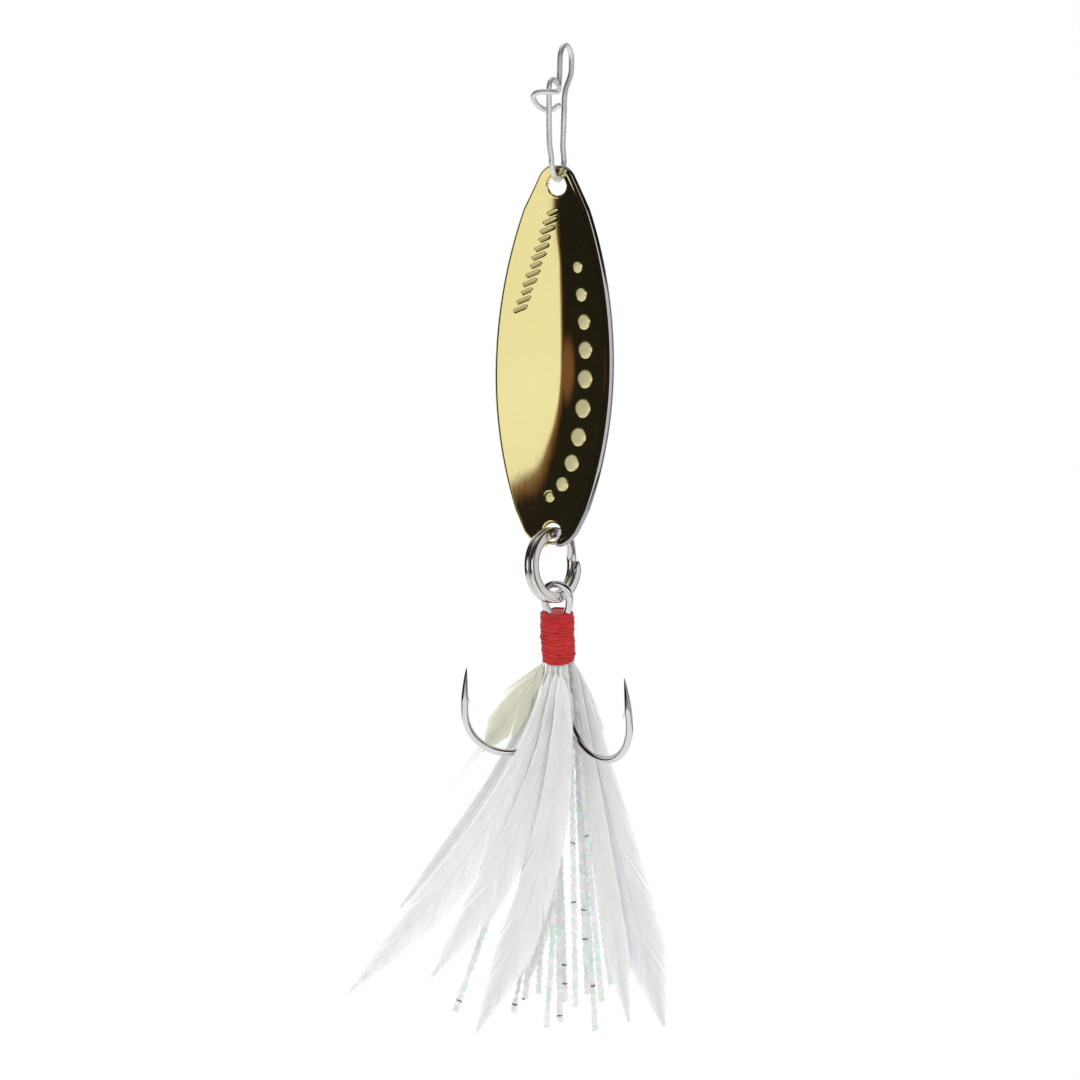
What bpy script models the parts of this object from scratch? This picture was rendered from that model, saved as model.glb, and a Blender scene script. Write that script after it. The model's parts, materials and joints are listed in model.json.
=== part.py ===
"""A dressed flutter spoon for fishing, hung from a wire snap.

World frame: +Z up, X across, the concave face of the blade looks towards -Y.
The origin is the inside of the crown of the snap's eye, where a line ties on.
Every length below is in millimetres and is turned into metres by MM.
"""
import bmesh
import bpy
import math
import numpy as np
from mathutils import Matrix, Vector

MM = 0.001
OBJECT_NAME = "flutter_spoon"

# Snap, one bent wire.
SNAP_WIRE = 0.45
SNAP_GAP = 0.05
LOOP_RADIUS = 1.673
LOOP_CENTRE = (-0.66, -0.35)
LOOP_DIRECTION = (0.293, 0.956)
EYE_RADIUS = 1.2
EYE_CROWN = 0.225

# Blade, a dished and stamped sheet.
BLADE_THICKNESS = 0.40
BLADE_TOP = -9.25
BLADE_BOTTOM = -39.25
BLADE_WIDEST = -25.35
BLADE_HALF_WIDTH = 4.86
BLADE_ARC_ABOVE = 38.1
BLADE_ARC_BELOW = 33.9
BLADE_END_ABOVE = 1.63
BLADE_END_BELOW = 2.6
BLADE_ARC_ENDS = (-11.0, 12.6)
BLADE_DISH_RADIUS = 8.0
BLADE_TURN = math.radians(21.0)
BLADE_LEAN = math.radians(0.9)
TOP_HOLE = -10.87
TOP_HOLE_DIAMETER = 1.5
BOTTOM_HOLE = -38.1
BOTTOM_HOLE_DIAMETER = 1.7
BLADE_ROWS = 38
BLADE_TRIM = 0.04
BLADE_COLUMNS = 12

# Raised bumps pressed through from the back. Their place across, level and radius are
# polynomials in the share of the way down the row, highest power first.
BUMP_COUNT = 10
BUMP_ACROSS = (-3.08, -1.80, 2.88, 1.60)
BUMP_LEVEL = (13.74, -16.59, 4.41, -19.71, -17.21)
BUMP_RADIUS = (-1.13, 0.26, 0.81, 0.40)
BUMP_HEIGHT = 0.2
BUMP_ROOT = 0.2

# Split ring, flat wire wound a little under two turns.
RING_RADIUS = 2.55
RING_RADIAL = 0.9
RING_COIL = 0.46
RING_COIL_GAP = 0.04
RING_DIRECTION = (0.66, 0.751)
RING_DROP_IN_HOLE = 0.06
RING_STEP_FROM = math.radians(100.0)
RING_STEP = math.radians(45.0)

# Treble hook: one wire makes the eye and two hooks, a second wire is the third hook.
HOOK_WIRE = 0.6
HOOK_LEG = 0.315
HOOK_THIRD = 0.67
HOOK_THIRD_TOP = -3.0
HOOK_BEND = 3.77
HOOK_BEND_DEPTH = 8.85
HOOK_POINT_RISE = 3.8
HOOK_TURNS = (169.7, 49.7, -89.0)
HOOK_EYE_RADIUS = 1.08
HOOK_EYE_LEGS = ((0.93, -0.85), (0.72, -1.35), (0.5, -1.95), (0.36, -2.45))
HOOK_TAPER = 3.0
EYE_ON_RING = math.radians(10.0)
TREBLE_LEAN = math.radians(3.0)
TREBLE_TILT = math.radians(19.0)

# Thread wrap round the shank.
WRAP_TOP = -1.3
WRAP_BOTTOM = -5.38
WRAP_RADIUS = 1.36
WRAP_BORE = 1.0
WRAP_BORE_TOP = 1.18
WRAP_BORE_STEP = -2.1
WRAP_OFFSET = (-0.08, 0.1)
WRAP_TURNS = 16
WRAP_THREAD = 0.05

# Dressing. Each feather runs from under the wrap to its tip, across by a power of the
# way down: (name, root across, root depth, tip across, length, power, half width, how much
# further back it lies for each step across).
ROOT_LEVEL = -5.45
FEATHER_ROOT_RADIUS = 1.26
TINSEL_ROOT_RADIUS = 1.0
ROOT_SPREAD = 0.12
FEATHER_EDGE = 0.025
FEATHER_RACHIS = 0.06
FEATHER_WIDEST = 0.80
FEATHERS = (
    ("feather_left_long", -0.95, -1.16, -18.2, 25.2, 1.65, 1.65, -0.22),
    ("feather_left_second", -0.45, -1.40, -11.5, 24.6, 1.8, 1.45, -0.22),
    ("feather_left_third", 0.05, -1.66, -8.2, 29.6, 2.0, 1.6, -0.22),
    ("feather_centre", -0.95, 1.34, -3.9, 27.6, 1.6, 1.6, 0.20),
    ("feather_right_long", 1.00, 0.70, 6.8, 31.7, 1.05, 1.7, 0.05),
    ("feather_right_second", 1.05, 0.27, 4.0, 31.0, 1.1, 0.95, 0.0),
    ("feather_right_short", 0.80, 1.00, 2.6, 8.2, 1.1, 1.1, 0.20),
    ("feather_left_short", -1.45, 0.25, -6.4, 7.4, 1.1, 1.25, 0.12),
    ("feather_left_wisp", -1.35, 0.75, -13.8, 21.3, 1.4, 0.5, 0.20),
)

# Tinsel: crinkled flat strips, (root across, root depth, tip across, length, power,
# how much further back it lies for each step across).
TINSEL_HALF_WIDTH = 0.17
TINSEL_HALF_THICKNESS = 0.025
TINSEL_CRINKLE = 0.10
TINSEL = (
    (-1.00, -0.82, -9.8, 28.0, 1.35, -0.22),
    (-0.60, -0.72, -6.4, 27.4, 1.3, -0.22),
    (-0.20, -0.70, -5.2, 28.7, 1.5, -0.22),
    (0.05, -0.87, -2.6, 30.3, 1.4, -0.22),
    (-0.85, 0.72, -3.1, 28.2, 1.3, 0.0),
    (-0.76, 0.60, -1.5, 30.7, 1.6, 0.0),
    (-0.66, 1.03, -1.0, 29.1, 1.6, 0.0),
    (0.97, 0.01, 1.9, 28.9, 1.1, 0.0),
    (1.00, 0.14, 0.8, 28.2, 1.2, 0.0),
    (1.00, 0.42, 2.7, 27.6, 1.2, 0.0),
    (0.66, -1.24, -0.2, 28.7, 1.2, 0.0),
    (0.98, 0.56, 1.3, 31.6, 1.5, 0.0),
    (-0.80, 0.90, -4.2, 28.7, 1.3, 0.0),
)

MATERIALS = {
    "snap_nickel": ((0.62, 0.62, 0.63), 1.0, 0.22),
    "gold_plate": ((0.83, 0.62, 0.27), 1.0, 0.2),
    "ring_nickel": ((0.65, 0.65, 0.66), 1.0, 0.18),
    "hook_steel": ((0.30, 0.30, 0.32), 1.0, 0.28),
    "red_thread": ((0.55, 0.03, 0.03), 0.0, 0.5),
    "white_hackle": ((0.85, 0.84, 0.80), 0.0, 0.7),
    "pearl_tinsel": ((0.80, 0.84, 0.84), 0.3, 0.25),
}


def clear_scene():
    for old in list(bpy.data.objects):
        bpy.data.objects.remove(old, do_unlink=True)


def new_collection(name, cutters=False):
    made = bpy.data.collections.new(name)
    bpy.context.scene.collection.children.link(made)
    made.hide_render = cutters
    return made


def new_material(name, node):
    colour, metallic, roughness = MATERIALS[name]
    made = bpy.data.materials.new(name + "_" + node)
    made.use_nodes = True
    shader = made.node_tree.nodes["Principled BSDF"]
    shader.inputs["Base Color"].default_value = (*colour, 1.0)
    shader.inputs["Metallic"].default_value = metallic
    shader.inputs["Roughness"].default_value = roughness
    made.diffuse_color = (*colour, 1.0)
    return made


def add_object(name, mesh, material, origin):
    """An object whose origin is the given point in millimetres, and whose mesh stays where it is."""
    made = bpy.data.objects.new(name, mesh)
    mesh.name = name
    mesh.transform(Matrix.Translation(-Vector(origin) * MM))
    made.location = Vector(origin) * MM
    parts.objects.link(made)
    mesh.materials.clear()
    mesh.materials.append(new_material(material, name))
    return made


def smooth(mesh, angle=math.radians(40.0)):
    for face in mesh.polygons:
        face.use_smooth = True
    mesh.set_sharp_from_angle(angle=angle)


def through(points, steps):
    """A Catmull-Rom curve through the points, with the given number of steps between neighbours."""
    points = [Vector(p) for p in points]
    ends = [2 * points[0] - points[1]] + points + [2 * points[-1] - points[-2]]
    path = []
    for i in range(1, len(ends) - 2):
        a, b, c, d = ends[i - 1], ends[i], ends[i + 1], ends[i + 2]
        for j in range(steps):
            t = j / steps
            path.append(
                0.5 * (2 * b + (c - a) * t + (2 * a - 5 * b + 4 * c - d) * t**2
                       + (3 * b - a - 3 * c + d) * t**3)
            )
    path.append(points[-1])
    return path


def wire_mesh(path, radius, taper=None, place=Matrix.Identity(4)):
    """A round wire along a path in millimetres. taper gives each point a share of the radius."""
    curve = bpy.data.curves.new("wire", "CURVE")
    curve.dimensions = "3D"
    curve.bevel_depth = radius * MM
    curve.bevel_resolution = 2
    curve.use_fill_caps = True
    curve.twist_mode = "MINIMUM"
    spline = curve.splines.new("POLY")
    spline.points.add(len(path) - 1)
    for i, point in enumerate(path):
        spline.points[i].co = (*(place @ Vector(point) * MM), 1.0)
        spline.points[i].radius = 1.0 if taper is None else taper[i]
    return curve_to_mesh(curve)


def curve_to_mesh(curve):
    holder = bpy.data.objects.new("holder", curve)
    bpy.context.scene.collection.objects.link(holder)
    bpy.context.view_layer.update()
    graph = bpy.context.evaluated_depsgraph_get()
    mesh = bpy.data.meshes.new_from_object(holder.evaluated_get(graph))
    mesh.transform(holder.matrix_world)
    bpy.data.objects.remove(holder, do_unlink=True)
    bpy.data.curves.remove(curve)
    work = bmesh.new()
    work.from_mesh(mesh)
    bmesh.ops.remove_doubles(work, verts=work.verts, dist=0.000002)
    bmesh.ops.recalc_face_normals(work, faces=work.faces)
    work.to_mesh(mesh)
    work.free()
    return mesh


def loft(sections):
    """A closed skin through rings of as many points each, given in millimetres."""
    work = bmesh.new()
    rings = [[work.verts.new(Vector(p) * MM) for p in ring] for ring in sections]
    count = len(rings[0])
    for near, far in zip(rings, rings[1:]):
        for i in range(count):
            j = (i + 1) % count
            work.faces.new((near[i], near[j], far[j], far[i]))
    work.faces.new(rings[0][::-1])
    work.faces.new(rings[-1])
    bmesh.ops.recalc_face_normals(work, faces=work.faces)
    mesh = bpy.data.meshes.new("loft")
    work.to_mesh(mesh)
    work.free()
    return mesh


def boolean(target, tool, operation):
    modifier = target.modifiers.new(operation.lower(), "BOOLEAN")
    modifier.operation = operation
    modifier.solver = "EXACT"
    modifier.object = tool
    return modifier


def apply_modifiers(target):
    bpy.context.view_layer.update()
    graph = bpy.context.evaluated_depsgraph_get()
    mesh = bpy.data.meshes.new_from_object(target.evaluated_get(graph))
    target.modifiers.clear()
    target.data = mesh
    return mesh


def cutter(name, mesh, matrix):
    made = bpy.data.objects.new(name, mesh)
    made.matrix_world = matrix
    made.display_type = "WIRE"
    made.hide_render = True
    cutters.objects.link(made)
    return made


# ---------------------------------------------------------------- snap

def snap_path():
    cx, cy = LOOP_CENTRE
    gx, gy = LOOP_DIRECTION
    wire_in_hole = TOP_HOLE + TOP_HOLE_DIAMETER / 2 - SNAP_GAP - SNAP_WIRE / 2
    cz = wire_in_hole + LOOP_RADIUS
    clasp = [
        (-0.60, -2.26, -4.60),
        (-0.95, -2.08, -4.85),
        (-1.34, -2.00, -4.97),
        (-1.80, -2.08, -4.88),
        (-2.22, -2.34, -4.60),
        (-2.50, -2.72, -4.26),
        (-2.58, -3.16, -3.92),
        (-2.36, -3.56, -3.68),
        (-1.90, -3.74, -3.60),
        (-1.36, -3.72, -3.60),
        (-0.92, -3.42, -3.58),
        (-0.68, -2.80, -3.54),
        (-0.60, -2.14, -3.44),
        (-0.57, -1.56, -3.14),
        (-0.54, -1.26, -2.60),
        (-0.50, -1.16, -1.85),
    ]
    eye = []
    for i in range(9):
        turn = math.radians(180.0 - i * 180.0 / 8)
        across = EYE_RADIUS * math.cos(turn)
        level = EYE_CROWN + EYE_RADIUS * (math.sin(turn) - 1.0)
        eye.append((0.38 * across - 0.02, 0.94 * across, level))
    spine = [
        (0.40, 1.12, -1.85),
        (0.22, 1.04, -2.50),
        (0.00, 0.92, -3.10),
        (-0.12, 0.84, -3.80),
        (-0.16, 0.84, -5.00),
        (-0.20, 0.94, -6.40),
        (-0.25, 1.14, -7.60),
    ]
    arc = []
    for i in range(17):
        turn = -math.pi * i / 16
        across = LOOP_RADIUS * math.cos(turn)
        arc.append((cx + gx * across, cy + gy * across, cz + LOOP_RADIUS * math.sin(turn)))
    front = [
        (-1.30, -2.12, -7.60),
        (-1.34, -2.45, -6.00),
        (-1.34, -2.78, -4.60),
        (-1.34, -3.00, -3.55),
        (-1.31, -3.02, -3.02),
        (-1.20, -2.76, -2.68),
        (-0.98, -2.38, -2.58),
        (-0.78, -2.06, -2.78),
    ]
    return through(clasp + eye + spine, 2)[:-1] + through(spine[-2:] + arc + front, 2)[2:]


def build_snap():
    mesh = wire_mesh(snap_path(), SNAP_WIRE / 2)
    smooth(mesh)
    return add_object("snap_wire", mesh, "snap_nickel", (0.0, 0.0, 0.0))


# ---------------------------------------------------------------- blade

def hull_chain(points):
    """The outer chain of the hull of (half width, level) points, from the bottom up."""
    chain = []
    for point in sorted(points, key=lambda p: (p[1], p[0])):
        while len(chain) > 1:
            (ax, az), (bx, bz) = chain[-2], chain[-1]
            if (bz - az) * (point[0] - ax) - (bx - ax) * (point[1] - az) < 0:
                break
            chain.pop()
        chain.append(point)
    return chain


def blade_outline():
    points = []
    for i in range(61):
        turn = math.pi * i / 60 - math.pi / 2
        top = BLADE_TOP - BLADE_END_ABOVE
        bottom = BLADE_BOTTOM + BLADE_END_BELOW
        points.append((BLADE_END_ABOVE * math.cos(turn), top + BLADE_END_ABOVE * math.sin(turn)))
        points.append((BLADE_END_BELOW * math.cos(turn), bottom + BLADE_END_BELOW * math.sin(turn)))
    for i in range(61):
        low, high = BLADE_ARC_ENDS
        away = low + (high - low) * i / 60
        radius = BLADE_ARC_ABOVE if away > 0 else BLADE_ARC_BELOW
        drop = radius - math.sqrt(radius**2 - away**2)
        points.append((BLADE_HALF_WIDTH - drop, BLADE_WIDEST + away))
    chain = hull_chain(points)
    return [p[1] for p in chain], [p[0] for p in chain]


OUTLINE_LEVELS, OUTLINE_WIDTHS = blade_outline()


def half_width(level):
    return float(np.interp(level, OUTLINE_LEVELS, OUTLINE_WIDTHS))


def dish(across, level):
    """How far the concave face lies behind the plane of the rim."""
    return (half_width(level) ** 2 - across**2) / (2 * BLADE_DISH_RADIUS)


def blade_matrix():
    """From the blade's own axes (across, back from the rim, level) to the world, in millimetres."""
    cx, cy = LOOP_CENTRE
    middle = Vector((0.0, dish(0.0, TOP_HOLE) + BLADE_THICKNESS / 2, TOP_HOLE))
    turn = Matrix.Rotation(-BLADE_TURN, 4, "Z") @ Matrix.Rotation(BLADE_LEAN, 4, "Y")
    return Matrix.Translation((cx, cy, TOP_HOLE)) @ turn @ Matrix.Translation(-middle)


def bump_centres():
    """The row of bumps down the blade, with their radii."""
    for i in range(BUMP_COUNT):
        way = i / (BUMP_COUNT - 1)
        yield [float(np.polyval(terms, way)) for terms in (BUMP_ACROSS, BUMP_LEVEL, BUMP_RADIUS)]


def bump_cap(radius):
    """A shallow cap of a ball that stands on the level of y = 0 and is rooted a little behind it."""
    ball = (radius**2 + BUMP_HEIGHT**2) / (2 * BUMP_HEIGHT)
    mesh = bpy.data.meshes.new("bump")
    work = bmesh.new()
    bmesh.ops.create_uvsphere(work, u_segments=10, v_segments=20, radius=ball * MM)
    bmesh.ops.rotate(work, verts=work.verts, matrix=Matrix.Rotation(math.pi / 2, 3, "X"))
    bmesh.ops.translate(work, verts=work.verts, vec=(0.0, (ball - BUMP_HEIGHT) * MM, 0.0))
    everything = work.verts[:] + work.edges[:] + work.faces[:]
    cut = bmesh.ops.bisect_plane(
        work, geom=everything, plane_co=(0.0, BUMP_ROOT * MM, 0.0), plane_no=(0.0, 1.0, 0.0),
        clear_outer=True)
    rim = [e for e in cut["geom_cut"] if isinstance(e, bmesh.types.BMEdge)]
    bmesh.ops.contextual_create(work, geom=rim)
    bmesh.ops.triangulate(work, faces=work.faces)
    bmesh.ops.recalc_face_normals(work, faces=work.faces)
    work.to_mesh(mesh)
    work.free()
    return mesh


def build_blade():
    place = blade_matrix()
    work = bmesh.new()
    rows = []
    for i in range(BLADE_ROWS + 1):
        way = 0.5 - 0.5 * math.cos(math.pi * i / BLADE_ROWS)
        way = 0.45 * way + 0.55 * i / BLADE_ROWS if 0 < i < BLADE_ROWS else i / BLADE_ROWS
        level = BLADE_TOP - BLADE_TRIM + (BLADE_BOTTOM - BLADE_TOP + 2 * BLADE_TRIM) * way
        half = half_width(level)
        row = []
        for j in range(BLADE_COLUMNS + 1):
            across = half * math.sin(math.pi / 2 * (2 * j / BLADE_COLUMNS - 1))
            row.append(work.verts.new(Vector((across, dish(across, level), level)) * MM))
        rows.append(row)
    for near, far in zip(rows, rows[1:]):
        for j in range(BLADE_COLUMNS):
            work.faces.new((near[j], far[j], far[j + 1], near[j + 1]))
    bmesh.ops.recalc_face_normals(work, faces=work.faces)
    sheet = bpy.data.meshes.new("sheet")
    work.to_mesh(sheet)
    work.free()
    blade = bpy.data.objects.new("blade", sheet)
    bpy.context.scene.collection.objects.link(blade)
    back = sum(face.normal.y * face.area for face in sheet.polygons) > 0
    solid = blade.modifiers.new("thickness", "SOLIDIFY")
    solid.thickness = BLADE_THICKNESS * MM
    solid.offset = 1.0 if back else -1.0
    solid.use_even_offset = True
    blade.modifiers.new("triangles", "TRIANGULATE")
    tools = []
    for i, (across, level, radius) in enumerate(bump_centres()):
        mesh = bump_cap(radius)
        slope = -math.atan(across / BLADE_DISH_RADIUS)
        spot = Matrix.Translation(Vector((across, dish(across, level), level)) * MM)
        spot = spot @ Matrix.Rotation(slope, 4, "Z")
        back = spot @ Matrix.Translation(Vector((0.0, BLADE_THICKNESS, 0.0)) * MM)
        tools.append((cutter(f"bump_{i}", mesh, spot), "UNION"))
        tools.append((cutter(f"dimple_{i}", mesh, back), "DIFFERENCE"))
    for level, diameter in ((TOP_HOLE, TOP_HOLE_DIAMETER), (BOTTOM_HOLE, BOTTOM_HOLE_DIAMETER)):
        rod = bpy.data.meshes.new("rod")
        work = bmesh.new()
        bmesh.ops.create_cone(
            work, cap_ends=True, segments=32, radius1=diameter / 2 * MM,
            radius2=diameter / 2 * MM, depth=6 * MM)
        work.to_mesh(rod)
        work.free()
        matrix = Matrix.Translation((0.0, 0.0, level * MM)) @ Matrix.Rotation(math.pi / 2, 4, "X")
        tools.append((cutter(f"hole_{int(-level)}", rod, matrix), "DIFFERENCE"))
    bpy.context.view_layer.update()
    for tool, operation in tools:
        boolean(blade, tool, operation)
    mesh = apply_modifiers(blade)
    mesh.transform(metre_matrix(place))
    bpy.data.objects.remove(blade, do_unlink=True)
    clean(mesh)
    smooth(mesh, math.radians(50.0))
    return add_object("spoon_blade", mesh, "gold_plate", swing_point())


def metre_matrix(matrix):
    """The same move as a matrix in millimetres, for a mesh in metres."""
    made = matrix.copy()
    made.translation = matrix.translation * MM
    return made


def clean(mesh):
    work = bmesh.new()
    work.from_mesh(mesh)
    bmesh.ops.remove_doubles(work, verts=work.verts, dist=0.000002)
    bmesh.ops.dissolve_degenerate(work, edges=work.edges, dist=0.000002)
    bmesh.ops.recalc_face_normals(work, faces=work.faces)
    work.to_mesh(mesh)
    work.free()


def swing_point():
    """The middle of the snap's wire where it carries the blade."""
    cx, cy = LOOP_CENTRE
    return Vector((cx, cy, TOP_HOLE + TOP_HOLE_DIAMETER / 2 - SNAP_GAP - SNAP_WIRE / 2))


# ---------------------------------------------------------------- split ring

def ring_hole():
    middle = dish(0.0, BOTTOM_HOLE) + BLADE_THICKNESS / 2
    return blade_matrix() @ Vector((0.0, middle, BOTTOM_HOLE))


def ring_point():
    """The middle of the ring's section where it passes through the blade."""
    return ring_hole() - Vector((0.0, 0.0, RING_DROP_IN_HOLE))


def ring_centre():
    return ring_point() - Vector((0.0, 0.0, RING_RADIUS))


def ring_axes():
    hx, hy = RING_DIRECTION
    across = Vector((hx, hy, 0.0)).normalized()
    return across, Vector((across.y, -across.x, 0.0))


def build_ring():
    across, axis = ring_axes()
    centre = ring_centre()
    pitch = RING_COIL + RING_COIL_GAP
    start = RING_STEP_FROM + RING_STEP + math.radians(4.0)
    total = 4 * math.pi - RING_STEP - math.radians(8.0)
    steps = 84
    r = 0.13
    half, deep = RING_RADIAL / 2, RING_COIL / 2
    sections = []
    for i in range(steps + 1):
        turn = start + total * i / steps
        gone = (turn - RING_STEP_FROM - 2 * math.pi) / RING_STEP
        rise = min(1.0, max(0.0, gone))
        side = (rise * rise * (3 - 2 * rise) - 0.5) * pitch
        out = across * math.sin(turn) - Vector((0.0, 0.0, 1.0)) * math.cos(turn)
        spot = centre + axis * side + out * RING_RADIUS
        ring = []
        for a, b in ((half, deep - r), (half - r, deep), (r - half, deep), (-half, deep - r),
                     (-half, r - deep), (r - half, -deep), (half - r, -deep), (half, r - deep)):
            ring.append(spot + out * a + axis * b)
        sections.append(ring)
    mesh = loft(sections)
    smooth(mesh, math.radians(35.0))
    return add_object("split_ring", mesh, "ring_nickel", ring_point())


# ---------------------------------------------------------------- treble hook

def eye_point():
    across, _ = ring_axes()
    down = Vector((0.0, 0.0, -1.0))
    return ring_centre() + (across * math.sin(EYE_ON_RING) + down * math.cos(EYE_ON_RING)) * RING_RADIUS


def treble_matrix():
    """From the treble's own axes (origin at the middle of its eye, shank down -Z) to the world."""
    turn = Matrix.Rotation(-TREBLE_LEAN, 4, "Y") @ Matrix.Rotation(TREBLE_TILT, 4, "X")
    return Matrix.Translation(eye_point()) @ turn


def heading(degrees):
    """A level direction of the treble's own axes, turned from +X towards the front."""
    turn = math.radians(degrees)
    return Vector((math.cos(turn), -math.sin(turn), 0.0))


def hook_run(foot, direction, span):
    """From the shank round the bend to the point, with each point's share of the wire's radius."""
    radius = span / 2
    path, taper = [], []
    for i in range(19):
        turn = math.pi * i / 18
        out = radius - radius * math.cos(turn)
        path.append(foot + direction * out + Vector((0.0, 0.0, -HOOK_BEND_DEPTH - radius * math.sin(turn))))
        taper.append(1.0)
    steps = 9
    for i in range(1, steps + 1):
        way = i / steps
        inward = 0.34 * way**1.6
        path.append(foot + direction * (span - inward)
                    + Vector((0.0, 0.0, -HOOK_BEND_DEPTH + HOOK_POINT_RISE * way)))
        left = HOOK_POINT_RISE * (1 - way)
        taper.append(0.08 + 0.92 * min(1.0, left / HOOK_TAPER) ** 0.8)
    return path, taper


def barb_mesh(foot, direction, span, place):
    """A sliver lifted from the inside of the point, in the plane of its hook."""
    side = Vector((-direction.y, direction.x, 0.0))
    low = foot + direction * (span - 0.16) + Vector((0.0, 0.0, -HOOK_BEND_DEPTH + 1.55))
    high = foot + direction * (span - 0.14) + Vector((0.0, 0.0, -HOOK_BEND_DEPTH + 0.55))
    tip = foot + direction * (span - 0.72) + Vector((0.0, 0.0, -HOOK_BEND_DEPTH + 0.28))
    near = []
    for centre, half, deep in ((low, 0.07, 0.05), ((low + high) / 2 - direction * 0.06, 0.10, 0.10),
                               ((high + tip) / 2, 0.09, 0.10), (tip, 0.03, 0.03)):
        up = Vector((0.0, 0.0, deep))
        near.append([place @ (centre + side * half + up), place @ (centre - side * half + up),
                     place @ (centre - side * half - up), place @ (centre + side * half - up)])
    return loft(near)


def union_into(mesh, others):
    holder = bpy.data.objects.new("holder", mesh)
    bpy.context.scene.collection.objects.link(holder)
    for i, other in enumerate(others):
        tool = cutter(f"barb_{len(cutters.objects)}", other, Matrix.Identity(4))
        boolean(holder, tool, "UNION")
    made = apply_modifiers(holder)
    bpy.data.objects.remove(holder, do_unlink=True)
    clean(made)
    return made


def build_treble():
    place = treble_matrix()
    left, right, rear = (heading(turn) for turn in HOOK_TURNS)
    base = heading((HOOK_TURNS[0] + HOOK_TURNS[1]) / 2 - 90.0)
    up = Vector((0.0, 0.0, 1.0))
    eye = []
    for i in range(17):
        turn = math.pi * i / 16
        eye.append((base * -math.cos(turn) + up * math.sin(turn)) * HOOK_EYE_RADIUS)
    legs = []
    for sign in (-1, 1):
        leg = [base * (sign * half) + up * level for half, level in HOOK_EYE_LEGS]
        for i in range(6):
            level = -3.0 + (3.0 - HOOK_BEND_DEPTH) * i / 6
            leg.append(base * (sign * HOOK_LEG) + up * level)
        legs.append(leg)
    span = 2 * HOOK_BEND
    foot_left = base * -HOOK_LEG
    foot_right = base * HOOK_LEG
    run_left, taper_left = hook_run(foot_left, left, span)
    run_right, taper_right = hook_run(foot_right, right, span)
    middle = legs[0][::-1] + eye + legs[1]
    path = run_left[::-1] + middle + run_right
    taper = taper_left[::-1] + [1.0] * len(middle) + taper_right
    mesh = wire_mesh(path, HOOK_WIRE / 2, taper, place)
    barbs = [barb_mesh(foot_left, left, span, place), barb_mesh(foot_right, right, span, place)]
    mesh = union_into(mesh, barbs)
    smooth(mesh)
    add_object("treble_double_hook", mesh, "hook_steel", ring_centre())

    foot = rear * HOOK_THIRD
    third = span - 0.2
    run, taper = hook_run(foot, rear, third)
    shank = []
    for i in range(6):
        level = HOOK_THIRD_TOP - (HOOK_BEND_DEPTH + HOOK_THIRD_TOP) * i / 6
        shank.append(foot + Vector((0.0, 0.0, level)))
    mesh = wire_mesh(shank + run, HOOK_WIRE / 2, [1.0] * len(shank) + taper, place)
    mesh = union_into(mesh, [barb_mesh(foot, rear, third, place)])
    smooth(mesh)
    add_object("treble_third_hook", mesh, "hook_steel", ring_centre())


def build_wrap():
    place = treble_matrix()
    ox, oy = WRAP_OFFSET
    segments = 24
    rings = []
    profile = [(WRAP_BORE_TOP, WRAP_TOP)]
    for i in range(2 * WRAP_TURNS + 1):
        way = i / (2 * WRAP_TURNS)
        shoulder = 0.08 * (abs(2 * way - 1) ** 6)
        ridge = WRAP_THREAD if i % 2 else 0.0
        profile.append((WRAP_RADIUS - WRAP_THREAD - shoulder + ridge, WRAP_TOP + (WRAP_BOTTOM - WRAP_TOP) * way))
    profile.append((WRAP_BORE, WRAP_BOTTOM))
    profile.append((WRAP_BORE, WRAP_BORE_STEP))
    work = bmesh.new()
    for radius, level in profile:
        ring = []
        for j in range(segments):
            turn = 2 * math.pi * j / segments
            spot = Vector((ox + radius * math.cos(turn), oy + radius * math.sin(turn), level))
            ring.append(work.verts.new(place @ spot * MM))
        rings.append(ring)
    rings.append(rings[0])
    for near, far in zip(rings, rings[1:]):
        for j in range(segments):
            k = (j + 1) % segments
            work.faces.new((near[j], near[k], far[k], far[j]))
    bmesh.ops.recalc_face_normals(work, faces=work.faces)
    mesh = bpy.data.meshes.new("wrap")
    work.to_mesh(mesh)
    work.free()
    smooth(mesh)
    add_object("thread_wrap", mesh, "red_thread", ring_centre())


# ---------------------------------------------------------------- dressing

def strand_path(root, depth, tip, length, power, bow, count, reach):
    """Points from under the wrap to the tip. Near the root they are drawn in under the wrap."""
    ox, oy = WRAP_OFFSET
    pinch = min(1.0, reach / math.hypot(root - ox, depth - oy))
    bow = math.copysign(bow, bow * tip)
    path = []
    for i in range(count + 1):
        way = i / count
        across = root + (tip - root) * way**power
        back = depth + bow * (across - root)
        loose = min(1.0, way / ROOT_SPREAD)
        share = pinch + (1.0 - pinch) * loose * loose * (3 - 2 * loose)
        path.append(Vector((ox + (across - ox) * share, oy + (back - oy) * share,
                            ROOT_LEVEL - length * way)))
    return path


def strand_frames(path, tip, bow):
    """Each point with its sideways direction, kept in the layer that the strand lies in, and its normal."""
    layer = Vector((-math.copysign(bow, bow * tip), 1.0, 0.0))
    for i, spot in enumerate(path):
        near, far = path[max(0, i - 1)], path[min(len(path) - 1, i + 1)]
        run = (far - near).normalized()
        side = run.cross(layer).normalized()
        yield spot, side, side.cross(run).normalized()


def vane(way):
    """The share of its half width that a feather has at a share of its length."""
    if way < FEATHER_WIDEST:
        return 0.16 + 0.84 * math.sin(math.pi / 2 * way / FEATHER_WIDEST) ** 0.8
    return max(0.04, 1.0 - (way - FEATHER_WIDEST) / (1.0 - FEATHER_WIDEST)) ** 0.85


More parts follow.
